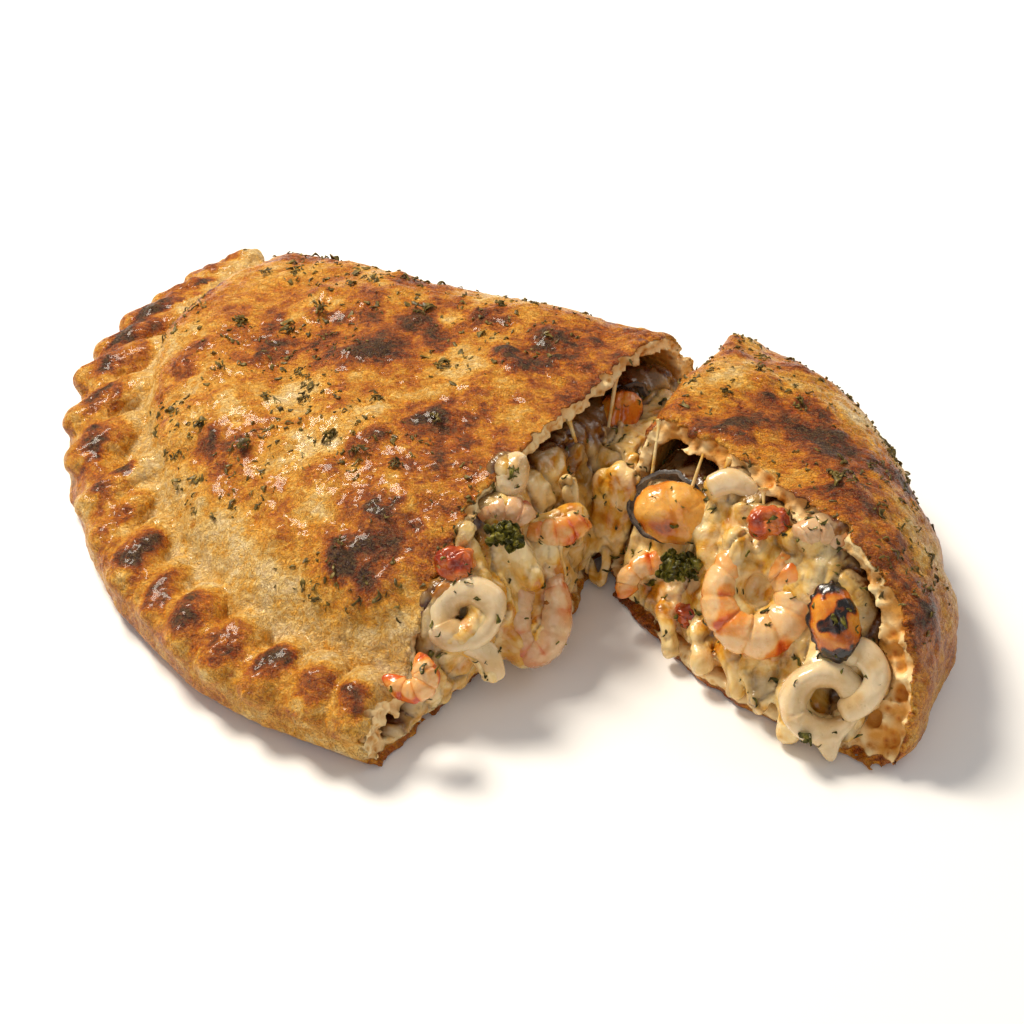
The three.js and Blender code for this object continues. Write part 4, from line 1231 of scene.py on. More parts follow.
        along, up, out = self.face.place(x, y, z)
        # Painted shade for the crumb: how deep each corner lies inside a scooped hole.
        paint(piece, "pit_shade", ease(0.6, 3.2, self.face.relief(along, up) - out))
        # The bake number also gets a little painted shade along the wrinkles.
        paint(piece, "bake", clamp(bake + 0.05 * wrinkle))
        paint(piece, "crumb", ease(0.55, 1.25, depth) * ease(1.5, 2.9, low) * ease(-44, -32, out))


def keep_largest(piece: bpy.types.Object) -> None:
    """Takes away every loose crumb, so that one closed body is left."""
    mesh = piece.data
    count = len(mesh.vertices)
    edges = np.empty(len(mesh.edges) * 2, dtype=np.int64)
    mesh.edges.foreach_get("vertices", edges)
    edges = edges.reshape(-1, 2)
    label = np.arange(count)
    while True:
        low = np.minimum(label[edges[:, 0]], label[edges[:, 1]])
        after = label.copy()
        np.minimum.at(after, edges[:, 0], low)
        np.minimum.at(after, edges[:, 1], low)
        after = after[after]
        if np.array_equal(after, label):
            break
        label = after
    names, sizes = np.unique(label, return_counts=True)
    loose = label != names[np.argmax(sizes)]
    if not loose.any():
        return
    choose(piece)
    bpy.ops.object.mode_set(mode="EDIT")
    bpy.ops.mesh.select_all(action="DESELECT")
    bpy.ops.object.mode_set(mode="OBJECT")
    mesh.vertices.foreach_set("select", loose)
    bpy.ops.object.mode_set(mode="EDIT")
    bpy.ops.mesh.delete(type="VERT")
    bpy.ops.object.mode_set(mode="OBJECT")


# ---- the filling ----


@dataclass(frozen=True)
class Mound:
    """A place where the filling stands out of its face, or a hollow in it."""

    along: float
    up: float
    wide: float
    high: float
    out: float


@dataclass(frozen=True)
class Bead:
    """A ball inside a piece, round which the melted cheese climbs."""

    at: Place
    radius: float


@dataclass
class Filling:
    """The melted cheese that fills one piece and comes out at its cut."""

    name: str
    node: str
    crust: Crust
    box: tuple[Place, Place]
    stands_out: float
    mounds: Sequence[Mound]
    sunk: tuple[float, float, float, float, float]
    beads: list[Bead] = field(default_factory=list)
    drips: Sequence[Bead] = ()
    pitch: float = 0.75
    triangles: int = 120000

    def build(self) -> bpy.types.Object:
        """Makes the filling and gives it its finish."""
        lattice = Lattice(*self.box, self.pitch)
        x, y, z = lattice.x, lattice.y, lattice.z
        sink_x, sink_y, far, near, drop = self.sunk
        low = drop * ease(far, near, np.hypot(x - sink_x, y - sink_y))
        room = np.maximum(self.crust.room(x, y, z, 0.5), self.crust.room(x, y, z + low, 0.5))
        along, up, out = self.crust.face.place(x, y, z)
        relief = self.stands_out + 0.9 * ripple(along, up, 11) + 0.7 * ripple(along + 31, up * 1.2, 5.3)
        for m in self.mounds:
            far = -(((along - m.along) / m.wide) ** 2) - ((up - m.up) / m.high) ** 2
            relief = relief + m.out * np.exp(far)
        shape = soft_max(room, (out - relief) * 0.8, 3.0)
        behind = -2.3 * self.crust.face.axes()[2]
        beds = np.full(shape.shape, 9.0)
        for bead in self.beads:
            lattice.ball(beds, tuple(np.array(bead.at) + behind), bead.radius + 1.8, 0.8, True)
        shape = soft_min(shape, beds, 2.4)
        for bead in self.drips:
            lattice.ball(shape, bead.at, bead.radius, 2.6, True)
        corners, faces = lattice.surface(np.maximum(shape, 0.15 - z))
        piece = new_object(self.name, corners, faces)
        corners = corners_of(piece) / MM
        out = self.crust.face.place(*corners.T)[2]
        ahead = normals_of(piece) @ self.crust.face.axes()[2]
        hidden = np.where((out < -19) | ((ahead < -0.5) & (out < -2)), 1.0, 0.0)
        thin_out(piece, hidden, self.triangles)
        keep_largest(piece)
        melt(piece, self.crust.face)
        return dress(piece, Finish.CHEESE, "cheese", self.node)


def melt(piece: bpy.types.Object, face: CutFace) -> None:
    """Softens melted cheese, pulls threads in its skin and paints shade into its low places, creases and
    gaps.
    """
    corners = corners_of(piece) / MM
    normals = normals_of(piece)
    along, up, out = face.place(*corners.T)
    drawn = np.stack([along, up * 0.45, out], axis=1)
    gaps = creases(drawn, 9.0, 75)
    push = (
        0.4 * cloud(corners, 7, 71)
        + 0.22 * cloud(drawn, 2.6, 72, 2)
        - 0.3 * creases(drawn, 5.0, 73)
        - 1.3 * gaps**2
    )
    move_to(piece, corners + normals * push[:, None])
    # Painted shade: darker the further back from the cut face, and in the creases and gaps.
    deep = (
        0.85 * ease(4.4, -2.6, out)
        + 0.15 * ease(-4, -18, out)
        + 0.35 * ease(0.3, 1.0, creases(drawn, 5.0, 73))
    )
    paint(piece, "deep", clamp(deep + 0.6 * gaps**2))


@dataclass(frozen=True)
class Thread:
    """A thread of melted cheese, thicker at both ends."""

    path: tuple[Place, ...]
    thick: float

    def shape(self, piece: bpy.types.Object) -> None:
        """Bends a round primitive into the thread."""
        t, turn = unrolled(piece)
        middle, side, over = frame_along(self.path, t)
        swell = self.thick * (0.5 + 1.3 * np.abs(2 * t - 1) ** 4) * round_ends(t, 0.05)
        swell = swell * (1 + 0.14 * np.sin(9 * t + self.path[0][0]))
        move_to(
            piece, middle + side * (swell * np.cos(turn))[:, None] + over * (swell * np.sin(turn))[:, None]
        )


def unrolled(piece: bpy.types.Object) -> tuple[Array, Array]:
    """For each corner of a ball primitive, its share of the way from pole to pole and its turn."""
    corners = corners_of(piece)
    corners = corners / np.linalg.norm(corners, axis=1, keepdims=True)
    return np.arccos(np.clip(-corners[:, 2], -1, 1)) / math.pi, np.arctan2(corners[:, 1], corners[:, 0])


def round_ends(t: Array, share: float) -> Array:
    """A width that closes in a round end over a share of the way at both ends."""
    near = clamp(np.minimum(t, 1 - t) / share)
    return np.sqrt(clamp(1 - (1 - near) ** 2))


def frame_along(path: Sequence[Place], t: Array) -> tuple[Array, Array, Array]:
    """A smooth curve through a path, with two directions across it.

    Args:
        path: The places to pass through.
        t: Where to read it, from 0 to 1.

    Returns:
        The places, the sideways directions and the upward ones.
    """
    columns = list(zip(*path))
    step = 0.01
    middle = np.stack([through(c, t) for c in columns], axis=1)
    ahead = np.stack([through(c, t + step) - through(c, t - step) for c in columns], axis=1)
    ahead /= np.linalg.norm(ahead, axis=1, keepdims=True) + 1e-9
    side = np.cross(ahead, np.array([0.05, 0.02, 1.0]))
    side /= np.linalg.norm(side, axis=1, keepdims=True) + 1e-9
    return middle, side, np.cross(side, ahead)


def polygon_distance(x: Array, y: Array, plan: Sequence[tuple[float, float]]) -> Array:
    """How far places lie outside a closed outline on the plan."""
    best = np.full(np.broadcast(x, y).shape, 1e9)
    inside = np.zeros(best.shape, dtype=bool)
    for (ax, ay), (bx, by) in zip(plan, [*plan[1:], plan[0]]):
        ex, ey = bx - ax, by - ay
        t = clamp(((x - ax) * ex + (y - ay) * ey) / (ex * ex + ey * ey))
        best = np.minimum(best, np.hypot(x - ax - t * ex, y - ay - t * ey))
        crosses = ((ay > y) != (by > y)) & (x < (bx - ax) * (y - ay) / ((by - ay) or 1e-9) + ax)
        inside ^= crosses
    return np.where(inside, -best, best)


@dataclass
class Bridge:
    """The melted cheese that still joins the two pieces, with its hanging sheet."""

    face: CutFace
    plan: Sequence[tuple[float, float]] = (
        (27, -25),
        (24, -14),
        (36, 2),
        (46, 16),
        (60, 18),
        (50, -4),
        (40, -26),
        (34, -29),
    )
    front: tuple[float, float] = (31, -27)
    heights: tuple[float, float] = (13, 32)
    climb: float = 15
    under: tuple[float, float] = (8, 3)
    box: tuple[Place, Place] = ((20, -40, 0), (66, 24, 42))
    pitch: float = 0.6

    def build(self) -> bpy.types.Object:
        """Makes the bridge and gives it its finish."""
        lattice = Lattice(*self.box, self.pitch)
        x, y, z = lattice.x, lattice.y, lattice.z
        axis = self.face.axes()[0]
        inward = (x - self.front[0]) * axis[0] + (y - self.front[1]) * axis[1]
        top = (
            mix(*self.heights, ease(-2, self.climb, inward))
            + 0.9 * ripple(x, y, 12)
            + 0.5 * ripple(x, y, 5)
        )
        low = mix(*self.under, ease(0, 20, inward))
        shape = soft_max(polygon_distance(x, y, self.plan) + 0.4, soft_max((z - top) * 0.8, low - z, 2), 3)
        for path, radii in self.sheets():
            for t in np.linspace(0, 1, 26):
                at = tuple(float(through(c, np.array([t]))[0]) for c in zip(*path))
                lattice.ball(shape, at, mix(radii[0], radii[1], t), 2.0, True)
        corners, faces = lattice.surface(shape)
        piece = new_object("melted_bridge", corners, faces)
        keep_largest(piece)
        melt(piece, self.face)
        return dress(piece, Finish.CHEESE, "cheese", "cheese_bridge")

    def sheets(self) -> list[tuple[tuple[Place, ...], tuple[float, float]]]:
        """The folds of the sheet that hangs at the front, and the thread at its foot."""
        return [
            (((36, -24, 34), (34, -27, 24), (31.5, -31, 12)), (2.4, 1.6)),
            (((39, -26, 33), (37.5, -29, 22), (34.5, -31.5, 12)), (2.2, 1.5)),
            (((32.5, -22.5, 31), (31, -26, 20), (29, -29, 11)), (2.2, 1.5)),
            (((27.5, -27, 11), (28.5, -31, 4), (31.5, -34.5, 3.5), (33.2, -32, 11)), (1.2, 0.9)),
        ]


# ---- what lies in the filling ----


@dataclass(frozen=True)
class Lie:
    """How a piece lies: its middle, and its spin, lean and turn in the tipped plane that faces the cut."""

    at: Place
    spin: float = 0.0
    lean: float = 0.0
    turn: float = 0.0

    def put(self, local: Array) -> Array:
        """Moves places from the piece's own plane to where it lies."""
        moved = np.asarray(local, dtype=float)
        for axis, angle in ((0, self.lean), (1, self.turn), (2, self.spin), (0, FACE_TILT)):
            c, s = math.cos(angle * DEG), math.sin(angle * DEG)
            p, q = [k for k in range(3) if k != axis]
            if axis == 1:
                s = -s
            turned = moved.copy()
            turned[:, p] = c * moved[:, p] - s * moved[:, q]
            turned[:, q] = s * moved[:, p] + c * moved[:, q]
            moved = turned
        return moved + np.array(self.at)


@dataclass(frozen=True)
class Prawn:
    """A peeled, curled prawn with overlapping segments, a torn neck and a thin tail."""

    node: str
    lie: Lie
    curl: tuple[float, float]
    thick: float
    tail: float
    start: float
    end: float
    finish: Finish = Finish.PRAWN
    segments: int = 6
    blush: float = 0.0
    groove: float = 0.075

    @staticmethod
    def body(t: Array) -> Array:
        """How far along the body places are, without the round ends."""
        return clamp((14 * t - 1) / 11)

    def middle(self, t: Array) -> Array:
        """The middle line of the curl."""
        turn = mix(self.start, self.end, t) * DEG
        share = self.body(t)
        return np.stack(
            [self.curl[0] * np.cos(turn), self.curl[1] * np.sin(turn), 1.4 * np.sin(3 * share)], axis=1
        )

    def plump(self, t: Array) -> Array:
        """The half thickness along the curl."""
        share = self.body(t)
        return self.thick * mix(0.86, 1, ease(0, 0.22, share)) * mix(1, self.tail, ease(0.35, 1, share))

    def beads(self) -> list[Bead]:
        """Balls inside the prawn."""
        t = np.linspace(0.05, 0.92, 14)
        places = self.lie.put(self.middle(t))
        return [Bead(tuple(p), float(r) - 1.2) for p, r in zip(places, self.plump(t))]

    def build(self) -> bpy.types.Object:
        """Makes the prawn and gives it its finish."""
        piece = begin_ball(f"peeled_{self.node}", 48, 150)
        t, turn = unrolled(piece)
        middle = self.middle(t)
        ahead = self.middle(t + 0.004) - self.middle(t - 0.004)
        ahead /= np.linalg.norm(ahead, axis=1, keepdims=True)
        over = np.array([0, 0, 1.0]) - ahead * ahead[:, 2:3]
        over /= np.linalg.norm(over, axis=1, keepdims=True)
        side = np.cross(ahead, over)
        outward = np.sign(np.sum(side * middle, axis=1).mean()) or 1.0
        side = side * outward
        step = (t - 0.07) / 0.8 * self.segments
        f = step - np.floor(step)
        banded = ease(0.04, 0.1, t) * ease(0.92, 0.86, t)
        groove = np.exp(-((f / 0.1) ** 2)) + np.exp(-(((1 - f) / 0.06) ** 2))
        back = 0.5 + 0.5 * np.cos(turn)
        width = (
            1
            + banded * (
                0.6 * self.groove * np.sin(math.pi * f) ** 0.7
                + 0.04 * (0.5 - f)
                - self.groove * groove * (0.35 + 0.65 * back)
            )
        )
        belly = 1 - 0.14 * np.exp(-(((np.abs(turn) - math.pi) / 0.5) ** 2))
        fan = ease(0.84, 0.97, t)
        radius = self.plump(t) * round_ends(t, 0.055) * width * belly
        local = middle + side * (radius * mix(1, 1.12, fan) * np.cos(turn))[:, None]
        local = local + over * (radius * mix(0.98, 0.42, fan) * np.sin(turn))[:, None]
        seed = int(self.lie.at[0])
        torn = ease(0.1, 0.0, t)
        direction = local - middle
        direction /= np.linalg.norm(direction, axis=1, keepdims=True) + 1e-6
        push = (
            0.2 * cloud(local, 3.2, seed, 2)
            + 0.08 * cloud(local, 1.1, seed + 1)
            + 0.5 * torn * cloud(local, 1.8, seed + 2)
        )
        move_to(piece, self.lie.put(local + direction * push[:, None]))
        stripes = banded * (0.6 * np.exp(-((f / 0.2) ** 2)) + 0.35 * np.exp(-(((1 - f) / 0.12) ** 2)))
        patch = ease(-0.1, 0.7, cloud(local, 7, seed + 3))
        vein = 0.3 * np.exp(-((turn / 0.22) ** 2)) * banded
        blush = (
            self.blush
            + 0.12
            + 0.5 * patch * (0.35 + 0.65 * back)
            + stripes * (0.3 + 0.5 * back * patch)
            + vein
            + 0.45 * fan
        )
        paint(piece, "blush", clamp(blush))
        return dress(piece, self.finish, "prawn", self.node)


@dataclass(frozen=True)
class SquidRing:
    """A ring cut from a squid's body, uneven in its width."""

    node: str
    lie: Lie
    hoop: tuple[float, float]
    flesh: tuple[float, float]
    drip: float = 0.0

    def middle(self, turn: Array) -> Array:
        """The middle line of the ring."""
        i = turn / (2 * math.pi) * 16
        return np.stack(
            [self.hoop[0] * np.cos(turn), self.hoop[1] * np.sin(turn), 0.9 * ripple(i, 0 * i, 9)], axis=1
        )

    def beads(self) -> list[Bead]:
        """Balls inside the ring."""
        turn = np.linspace(0, 2 * math.pi, 14, endpoint=False)
        return [Bead(tuple(p), min(self.flesh) - 0.9) for p in self.lie.put(self.middle(turn))]

    def build(self) -> bpy.types.Object:
        """Makes the ring and gives it its finish."""
        piece = begin(
            f"sliced_{self.node}",
            bpy.ops.mesh.primitive_torus_add,
            major_segments=120,
            minor_segments=40,
            major_radius=1.0,
            minor_radius=0.4,
        )
        corners = corners_of(piece)
        turn = np.arctan2(corners[:, 1], corners[:, 0])
        around = np.arctan2(corners[:, 2], np.hypot(corners[:, 0], corners[:, 1]) - 1.0)
        middle = self.middle(turn)
        outward = np.stack([np.cos(turn), np.sin(turn), 0 * turn], axis=1)
        uneven = 1 + 0.12 * np.sin(2 * turn + 0.6) + 0.05 * np.sin(5 * turn + 2)
        wide = self.flesh[0] * uneven * (1 + 0.05 * np.cos(3 * around + turn))
        wide = (
            wide + clamp(-np.cos(around)) * (0.9 + 0.8 * np.sin(turn - 0.7) + 0.45 * np.sin(3 * turn + 1))
        )
        hang = self.drip * np.exp(-(((turn + 1.75) / 0.2) ** 2)) * ease(-0.2, 1.0, np.cos(around))
        local = middle + outward * (wide * np.cos(around) + hang)[:, None]
        local[:, 2] += (
            self.flesh[1]
            * np.sign(np.sin(around))
            * np.abs(np.sin(around)) ** 0.85
            * (1 - 0.3 * (hang > 1.5))
        )
        seed = int(self.lie.at[0])
        local += 0.22 * outward * cloud(local, 4.5, seed, 2)[:, None]
        local[:, 2] += 0.12 * cloud(local, 2.6, seed + 1)
        move_to(piece, self.lie.put(local))
        inner = ease(0.2, -1.0, np.cos(around))
        paint(piece, "blush", clamp(0.15 + 0.45 * inner + 0.2 * cloud(local, 5, seed + 3)))
        return dress(piece, Finish.SQUID, "squid", self.node)


@dataclass(frozen=True)
class SquidStrip:
    """A bent strip of squid."""

    node: str
    lie: Lie
    path: tuple[Place, ...]
    flesh: tuple[float, float]
    flap: float = 0.0

    def beads(self) -> list[Bead]:
        """Balls inside the strip."""
        middle, _, _ = frame_along(self.path, np.linspace(0.1, 0.9, 7))
        return [Bead(tuple(p), min(self.flesh) - 0.9) for p in self.lie.put(middle)]

    def build(self) -> bpy.types.Object:
        """Makes the strip and gives it its finish."""
        piece = begin_ball(f"sliced_{self.node}", 40, 90)
        t, turn = unrolled(piece)
        middle, side, over = frame_along(self.path, t)
        taper = (0.6 + 0.4 * np.sin(math.pi * mix(0.09, 0.93, t)) ** 0.5) * round_ends(t, 0.1)
        wide = self.flesh[0] * taper * (1 + 0.12 * np.sin(6 * t + self.lie.at[0]))
        thin = self.flesh[1] * taper * mix(1, 1 - self.flap, ease(0.6, 1.0, t))
        square = np.sign(np.cos(turn)) * np.abs(np.cos(turn)) ** 0.8
        local = middle + side * (wide * square)[:, None] + over * (thin * np.sin(turn))[:, None]
        seed = int(abs(self.lie.at[0])) + 5
        local += over * (0.2 * cloud(local, 4, seed, 2))[:, None]
        move_to(piece, self.lie.put(local))
        paint(
            piece,
            "blush",
            clamp(0.18 + 0.3 * cloud(local, 5, seed + 3) + 0.2 * ease(0.8, 1, np.abs(2 * t - 1))),
        )
        return dress(piece, Finish.SQUID, "squid", self.node)


@dataclass(frozen=True)
class Lump:
    """A plump piece of squid, or a torn piece of baked tomato."""

    node: str
    lie: Lie
    half: Place
    finish: Finish
    slot: str
    uneven: float = 0.1
    square: float = 1.0

    def beads(self) -> list[Bead]:
        """A ball inside the lump."""
        return [Bead(self.lie.at, min(self.half) - 0.9)]

    def build(self) -> bpy.types.Object:
        """Makes the lump and gives it its finish."""
        piece = begin_ball(f"soft_{self.node}", 64, 48)
        corners = corners_of(piece)
        bent = np.sign(corners) * np.abs(corners) ** self.square
        local = bent * np.array(self.half)
        seed = int(abs(self.lie.at[0] * 3))
        push = self.uneven * 6 * cloud(local, 4.5, seed) + self.uneven * 2.6 * cloud(local, 1.7, seed + 1)
        push = push - self.uneven * 4 * creases(local, 3.5, seed + 2) * (self.square < 1)
        local = local + corners * push[:, None]
        move_to(piece, self.lie.put(local))
        paint(piece, "blush", clamp(0.35 + 0.4 * cloud(local, 4, seed + 3)))
        return dress(piece, self.finish, self.slot, self.node)


@dataclass(frozen=True)
class Mussel:
    """A mussel's meat with its dark frill, and the half shell behind it."""

    name: str
    lie: Lie
    meat: Place
    shell_at: Place
    tip: float
    frill: float = 0.3
    dark: float = 0.0

    def beads(self) -> list[Bead]:
        """Balls inside the meat."""
        return [Bead(self.lie.at, min(self.meat) - 0.8)]

    def build(self) -> list[bpy.types.Object]:
        """Makes the meat and the shell and gives them their finishes."""
        return [self.build_meat(), self.build_shell()]

    def build_meat(self) -> bpy.types.Object:
        """Makes the meat: plump lobes with a wavy frill round its edge."""
        piece = begin_ball(f"meat_mussel_{self.name}", 96, 64)
        corners = corners_of(piece)
        turn = np.arctan2(corners[:, 1], corners[:, 0])
        flat = np.exp(-((corners[:, 2] / 0.16) ** 2))
        local = corners * np.array(self.meat)
        seed = int(self.lie.at[1] * 2) % 50 + 7
        cleft = (
            np.exp(-((corners[:, 0] + 0.25 * np.sin(2 * corners[:, 1])) / 0.13) ** 2)
            * ease(0.2, 0.9, corners[:, 2])
        )
        push = (
            0.25 * cloud(local, 6, seed)
            + 0.08 * cloud(local, 1.8, seed + 1)
            - 0.5 * cleft
            - 0.16 * creases(local, 5, seed + 2)
        )
        edge = self.frill * flat * (0.9 + 0.8 * np.sin(17 * turn + 2 * np.sin(5 * turn)))
        local = local + corners * (push + edge)[:, None] + np.array([0, 0, 1.0])
        move_to(piece, self.lie.put(local))
        rim = np.exp(-((corners[:, 2] / 0.22) ** 2)) * self.frill * 1.7
        ends = 0.7 * ease(0.6, 0.95, np.abs(corners[:, 1]))
        spots = (0.8 * ease(0.3, 0.9, cloud(local, 3.6, seed + 5)) + ends) * self.dark
        paint(
            piece,
            "blush",
            clamp(0.3 + 0.18 * self.dark + 0.3 * cloud(local, 7, seed + 4) + rim + 0.8 * spots),
        )
        return dress(piece, Finish.MUSSEL, "mussel_meat", f"mussel_{self.name}")

    def build_shell(self) -> bpy.types.Object:
        """Makes the half shell: a pointed cup with growth lines and a thin wall."""
        a, b, depth = self.meat[0] + 1.7, self.meat[1] + 1.5, self.meat[2] + 2.0
        piece = begin_ball(f"cup_shell_{self.name}", 80, 48)
        choose(piece)
        bpy.ops.object.mode_set(mode="EDIT")
        bpy.ops.mesh.select_all(action="SELECT")
        bpy.ops.mesh.bisect(plane_co=(0, 0, -0.17), plane_no=(0, 0, 1), clear_outer=True)
        bpy.ops.object.mode_set(mode="OBJECT")
        corners = corners_of(piece)
        pointed = 1 - 0.16 * ((1 + corners[:, 1]) / 2) ** 3
        from_tip = np.hypot(corners[:, 0], corners[:, 1] - 0.9)
        growth = 0.12 * np.sin(34 * from_tip) + 0.18 * np.sin(11 * from_tip)
        local = (
            corners
            * np.array([a, b, depth])
            * np.stack([pointed, 0 * pointed + 1, 0 * pointed + 1], axis=1)
        )
        local = local + corners * (growth + 0.25 * np.sin(3 * corners[:, 0] * 4))[:, None]
        c, s = math.cos(self.tip * DEG), math.sin(self.tip * DEG)
        tipped = np.stack(
            [c * local[:, 0] + s * local[:, 2], local[:, 1], -s * local[:, 0] + c * local[:, 2]], axis=1
        )
        move_to(piece, self.lie.put(tipped + np.array(self.shell_at)))
        finish_modifier(piece, "SOLIDIFY", thickness=1.1 * MM, offset=-1.0, use_even_offset=False)
        finish_modifier(
            piece, "BEVEL", width=0.3 * MM, segments=2, limit_method="ANGLE", angle_limit=60 * DEG
        )
        piece.data.shade_smooth()
        middle = self.lie.put(np.array([self.shell_at]))[0]
        inner = np.sum(normals_of(piece) * (corners_of(piece) / MM - middle), axis=1) < 0
        paint(piece, "inner", inner.astype(float))
        return dress(piece, Finish.SHELL, "mussel_shell", f"mussel_shell_{self.name}")


# ---- herbs ----


@dataclass(frozen=True)
class HerbClump:
    """A clump of curly baked parsley leaves."""

    node: str
    lie: Lie
    leaf: tuple[float, float]
    seed: int
    leaves: int = 15

    def build(self) -> bpy.types.Object:
        """Makes the leaves one by one, joins them and gives them their finish."""
        made = []
        rng = np.random.default_rng(self.seed)
        for i in range(self.leaves):
            leaf = begin(
                f"leaf_{i}", bpy.ops.mesh.primitive_grid_add, x_subdivisions=22, y_subdivisions=14, size=2.0
            )
            p, q = corners_of(leaf)[:, 0], corners_of(leaf)[:, 1]
            length, width = self.leaf[0] * rng.uniform(0.32, 0.62), self.leaf[1] * rng.uniform(0.36, 0.62)
            lobes = 0.45 + 0.55 * np.abs(np.sin(5.2 * p + i)) ** 0.8
            across = q * width / 2 * np.sqrt(clamp(1 - np.abs(p) ** 2.4)) * lobes
            along = p * length / 2
            curl = (
                0.7 * np.sin(along * 1.5 + i)
                + 0.6 * np.cos(across * 2.2 + 2 * i)
                + 0.3 * np.sin(across * 4 + along * 3)
            )
            local = np.stack([along, across, curl], axis=1)
            turn = rng.uniform(0, 2 * math.pi)
            tilt = rng.uniform(-0.8, 0.8)
            c, s, ct, st = math.cos(turn), math.sin(turn), math.cos(tilt), math.sin(tilt)
            local = local @ np.array([[ct, 0, -st], [0, 1, 0], [st, 0, ct]])
            local = local @ np.array([[c, s, 0], [-s, c, 0], [0, 0, 1]])
            local += np.array([*rng.uniform(-0.34, 0.34, 2) * np.array(self.leaf), 0.12 * i])
            move_to(leaf, self.lie.put(local))
            finish_modifier(leaf, "SOLIDIFY", thickness=0.35 * MM, offset=0.0)
            made.append(leaf)
        piece = join_all(made, f"leaves_{self.node}")
        piece.data.shade_smooth()
        return dress(piece, Finish.FRESH_HERB, "herb", self.node)


@dataclass(frozen=True)
class Flecks:
    """Small chopped leaves that lie on a surface."""

    name: str
    finish: Finish
    count: int
    sizes: tuple[float, float]
    seed: int
    lift: float = 0.25
    clumps: Sequence[tuple[float, float]] = ()

    def pattern(self) -> tuple[Array, Array]:
        """One flat leaf bit, modelled once: its corners and faces."""
        bit = begin(
            "leaf_bit", bpy.ops.mesh.primitive_grid_add, x_subdivisions=6, y_subdivisions=2, size=2.0
        )
        finish_modifier(bit, "SOLIDIFY", thickness=0.3, offset=0.0)
        corners = corners_of(bit)
        faces = np.array([list(face.vertices) for face in bit.data.polygons])
        bpy.data.objects.remove(bit, do_unlink=True)
        corners[:, 1] *= np.sqrt(clamp(1.08 - corners[:, 0] ** 2))
        return corners, faces

    def build(
        self, hosts: Sequence[tuple[bpy.types.Object, Callable[[Array, Array], Array], float]]
    ) -> bpy.types.Object:
        """Scatters the bits over the surfaces that carry them.

        Args:
            hosts: Each carrying piece, which of its corners may carry a bit, and its share of them.

        Returns:
            One piece with all the bits.
        """
        rng = np.random.default_rng(self.seed)
        base, faces = self.pattern()
        bits = []
        for host, allowed, share in hosts:
            spots, normals = corners_of(host) / MM, normals_of(host)
            chance = np.clip(allowed(spots, normals), 0, None)
            if chance.sum() == 0:
                continue
            for pick in rng.choice(len(spots), size=int(self.count * share), p=chance / chance.sum()):
                bits.append(self.bit(base, rng, spots[pick], normals[pick], 0.16))
            for at in self.clumps:
                away = np.hypot(spots[:, 0] - at[0], spots[:, 1] - at[1])
                pick = int(np.argmin(away + 9.0 * (chance == 0)))
                for height in np.linspace(0, 1.3, 11):
                    spot = spots[pick] + rng.normal(0, 0.95, 3) * (1, 1, 0) + height * normals[pick]
                    bits.append(self.bit(base, rng, spot, normals[pick], 0.55))
        places = np.concatenate(bits)
        sides = np.concatenate([faces + i * len(base) for i in range(len(bits))])
        piece = new_object(self.name, places, sides)
        return dress(piece, self.finish, "herb")

    def bit(self, base: Array, rng: np.random.Generator, spot: Array, normal: Array, tilt: float) -> Array:
        """Bends one leaf bit and lays it down.

        Args:
            base: The corners of the flat bit.
            rng: Where its sizes and turns come from.
            spot: Where it lies.
            normal: The way that the surface faces there.
            tilt: How far it may lean.

        Returns:
            The corners of the bit.
        """
        length = rng.uniform(*self.sizes) * (0.6 + 0.8 * rng.random() ** 3)
        width = length * rng.uniform(0.16, 0.6)
        local = base * np.array([length / 2, width / 2, 0.9])
        local[:, 1] *= 0.75 + 0.35 * np.sin(base[:, 0] * rng.uniform(2, 5) + rng.uniform(0, 6))
        local[:, 2] += 0.14 * length * np.sin(base[:, 0] * rng.uniform(1, 4) + rng.uniform(0, 6))
        local[:, 2] += 0.3 * width * base[:, 1] ** 2
        local[:, 1] += 0.2 * length * np.sin(base[:, 0] * rng.uniform(0.8, 2.6) + rng.uniform(0, 6))
        facing = normal + rng.normal(0, tilt, 3)
        facing /= np.linalg.norm(facing)
        side = np.cross(facing, rng.normal(0, 1, 3))
        side /= np.linalg.norm(side)
        return local @ np.stack([side, np.cross(facing, side), facing]) + spot + self.lift * facing


# ---- the studio ----


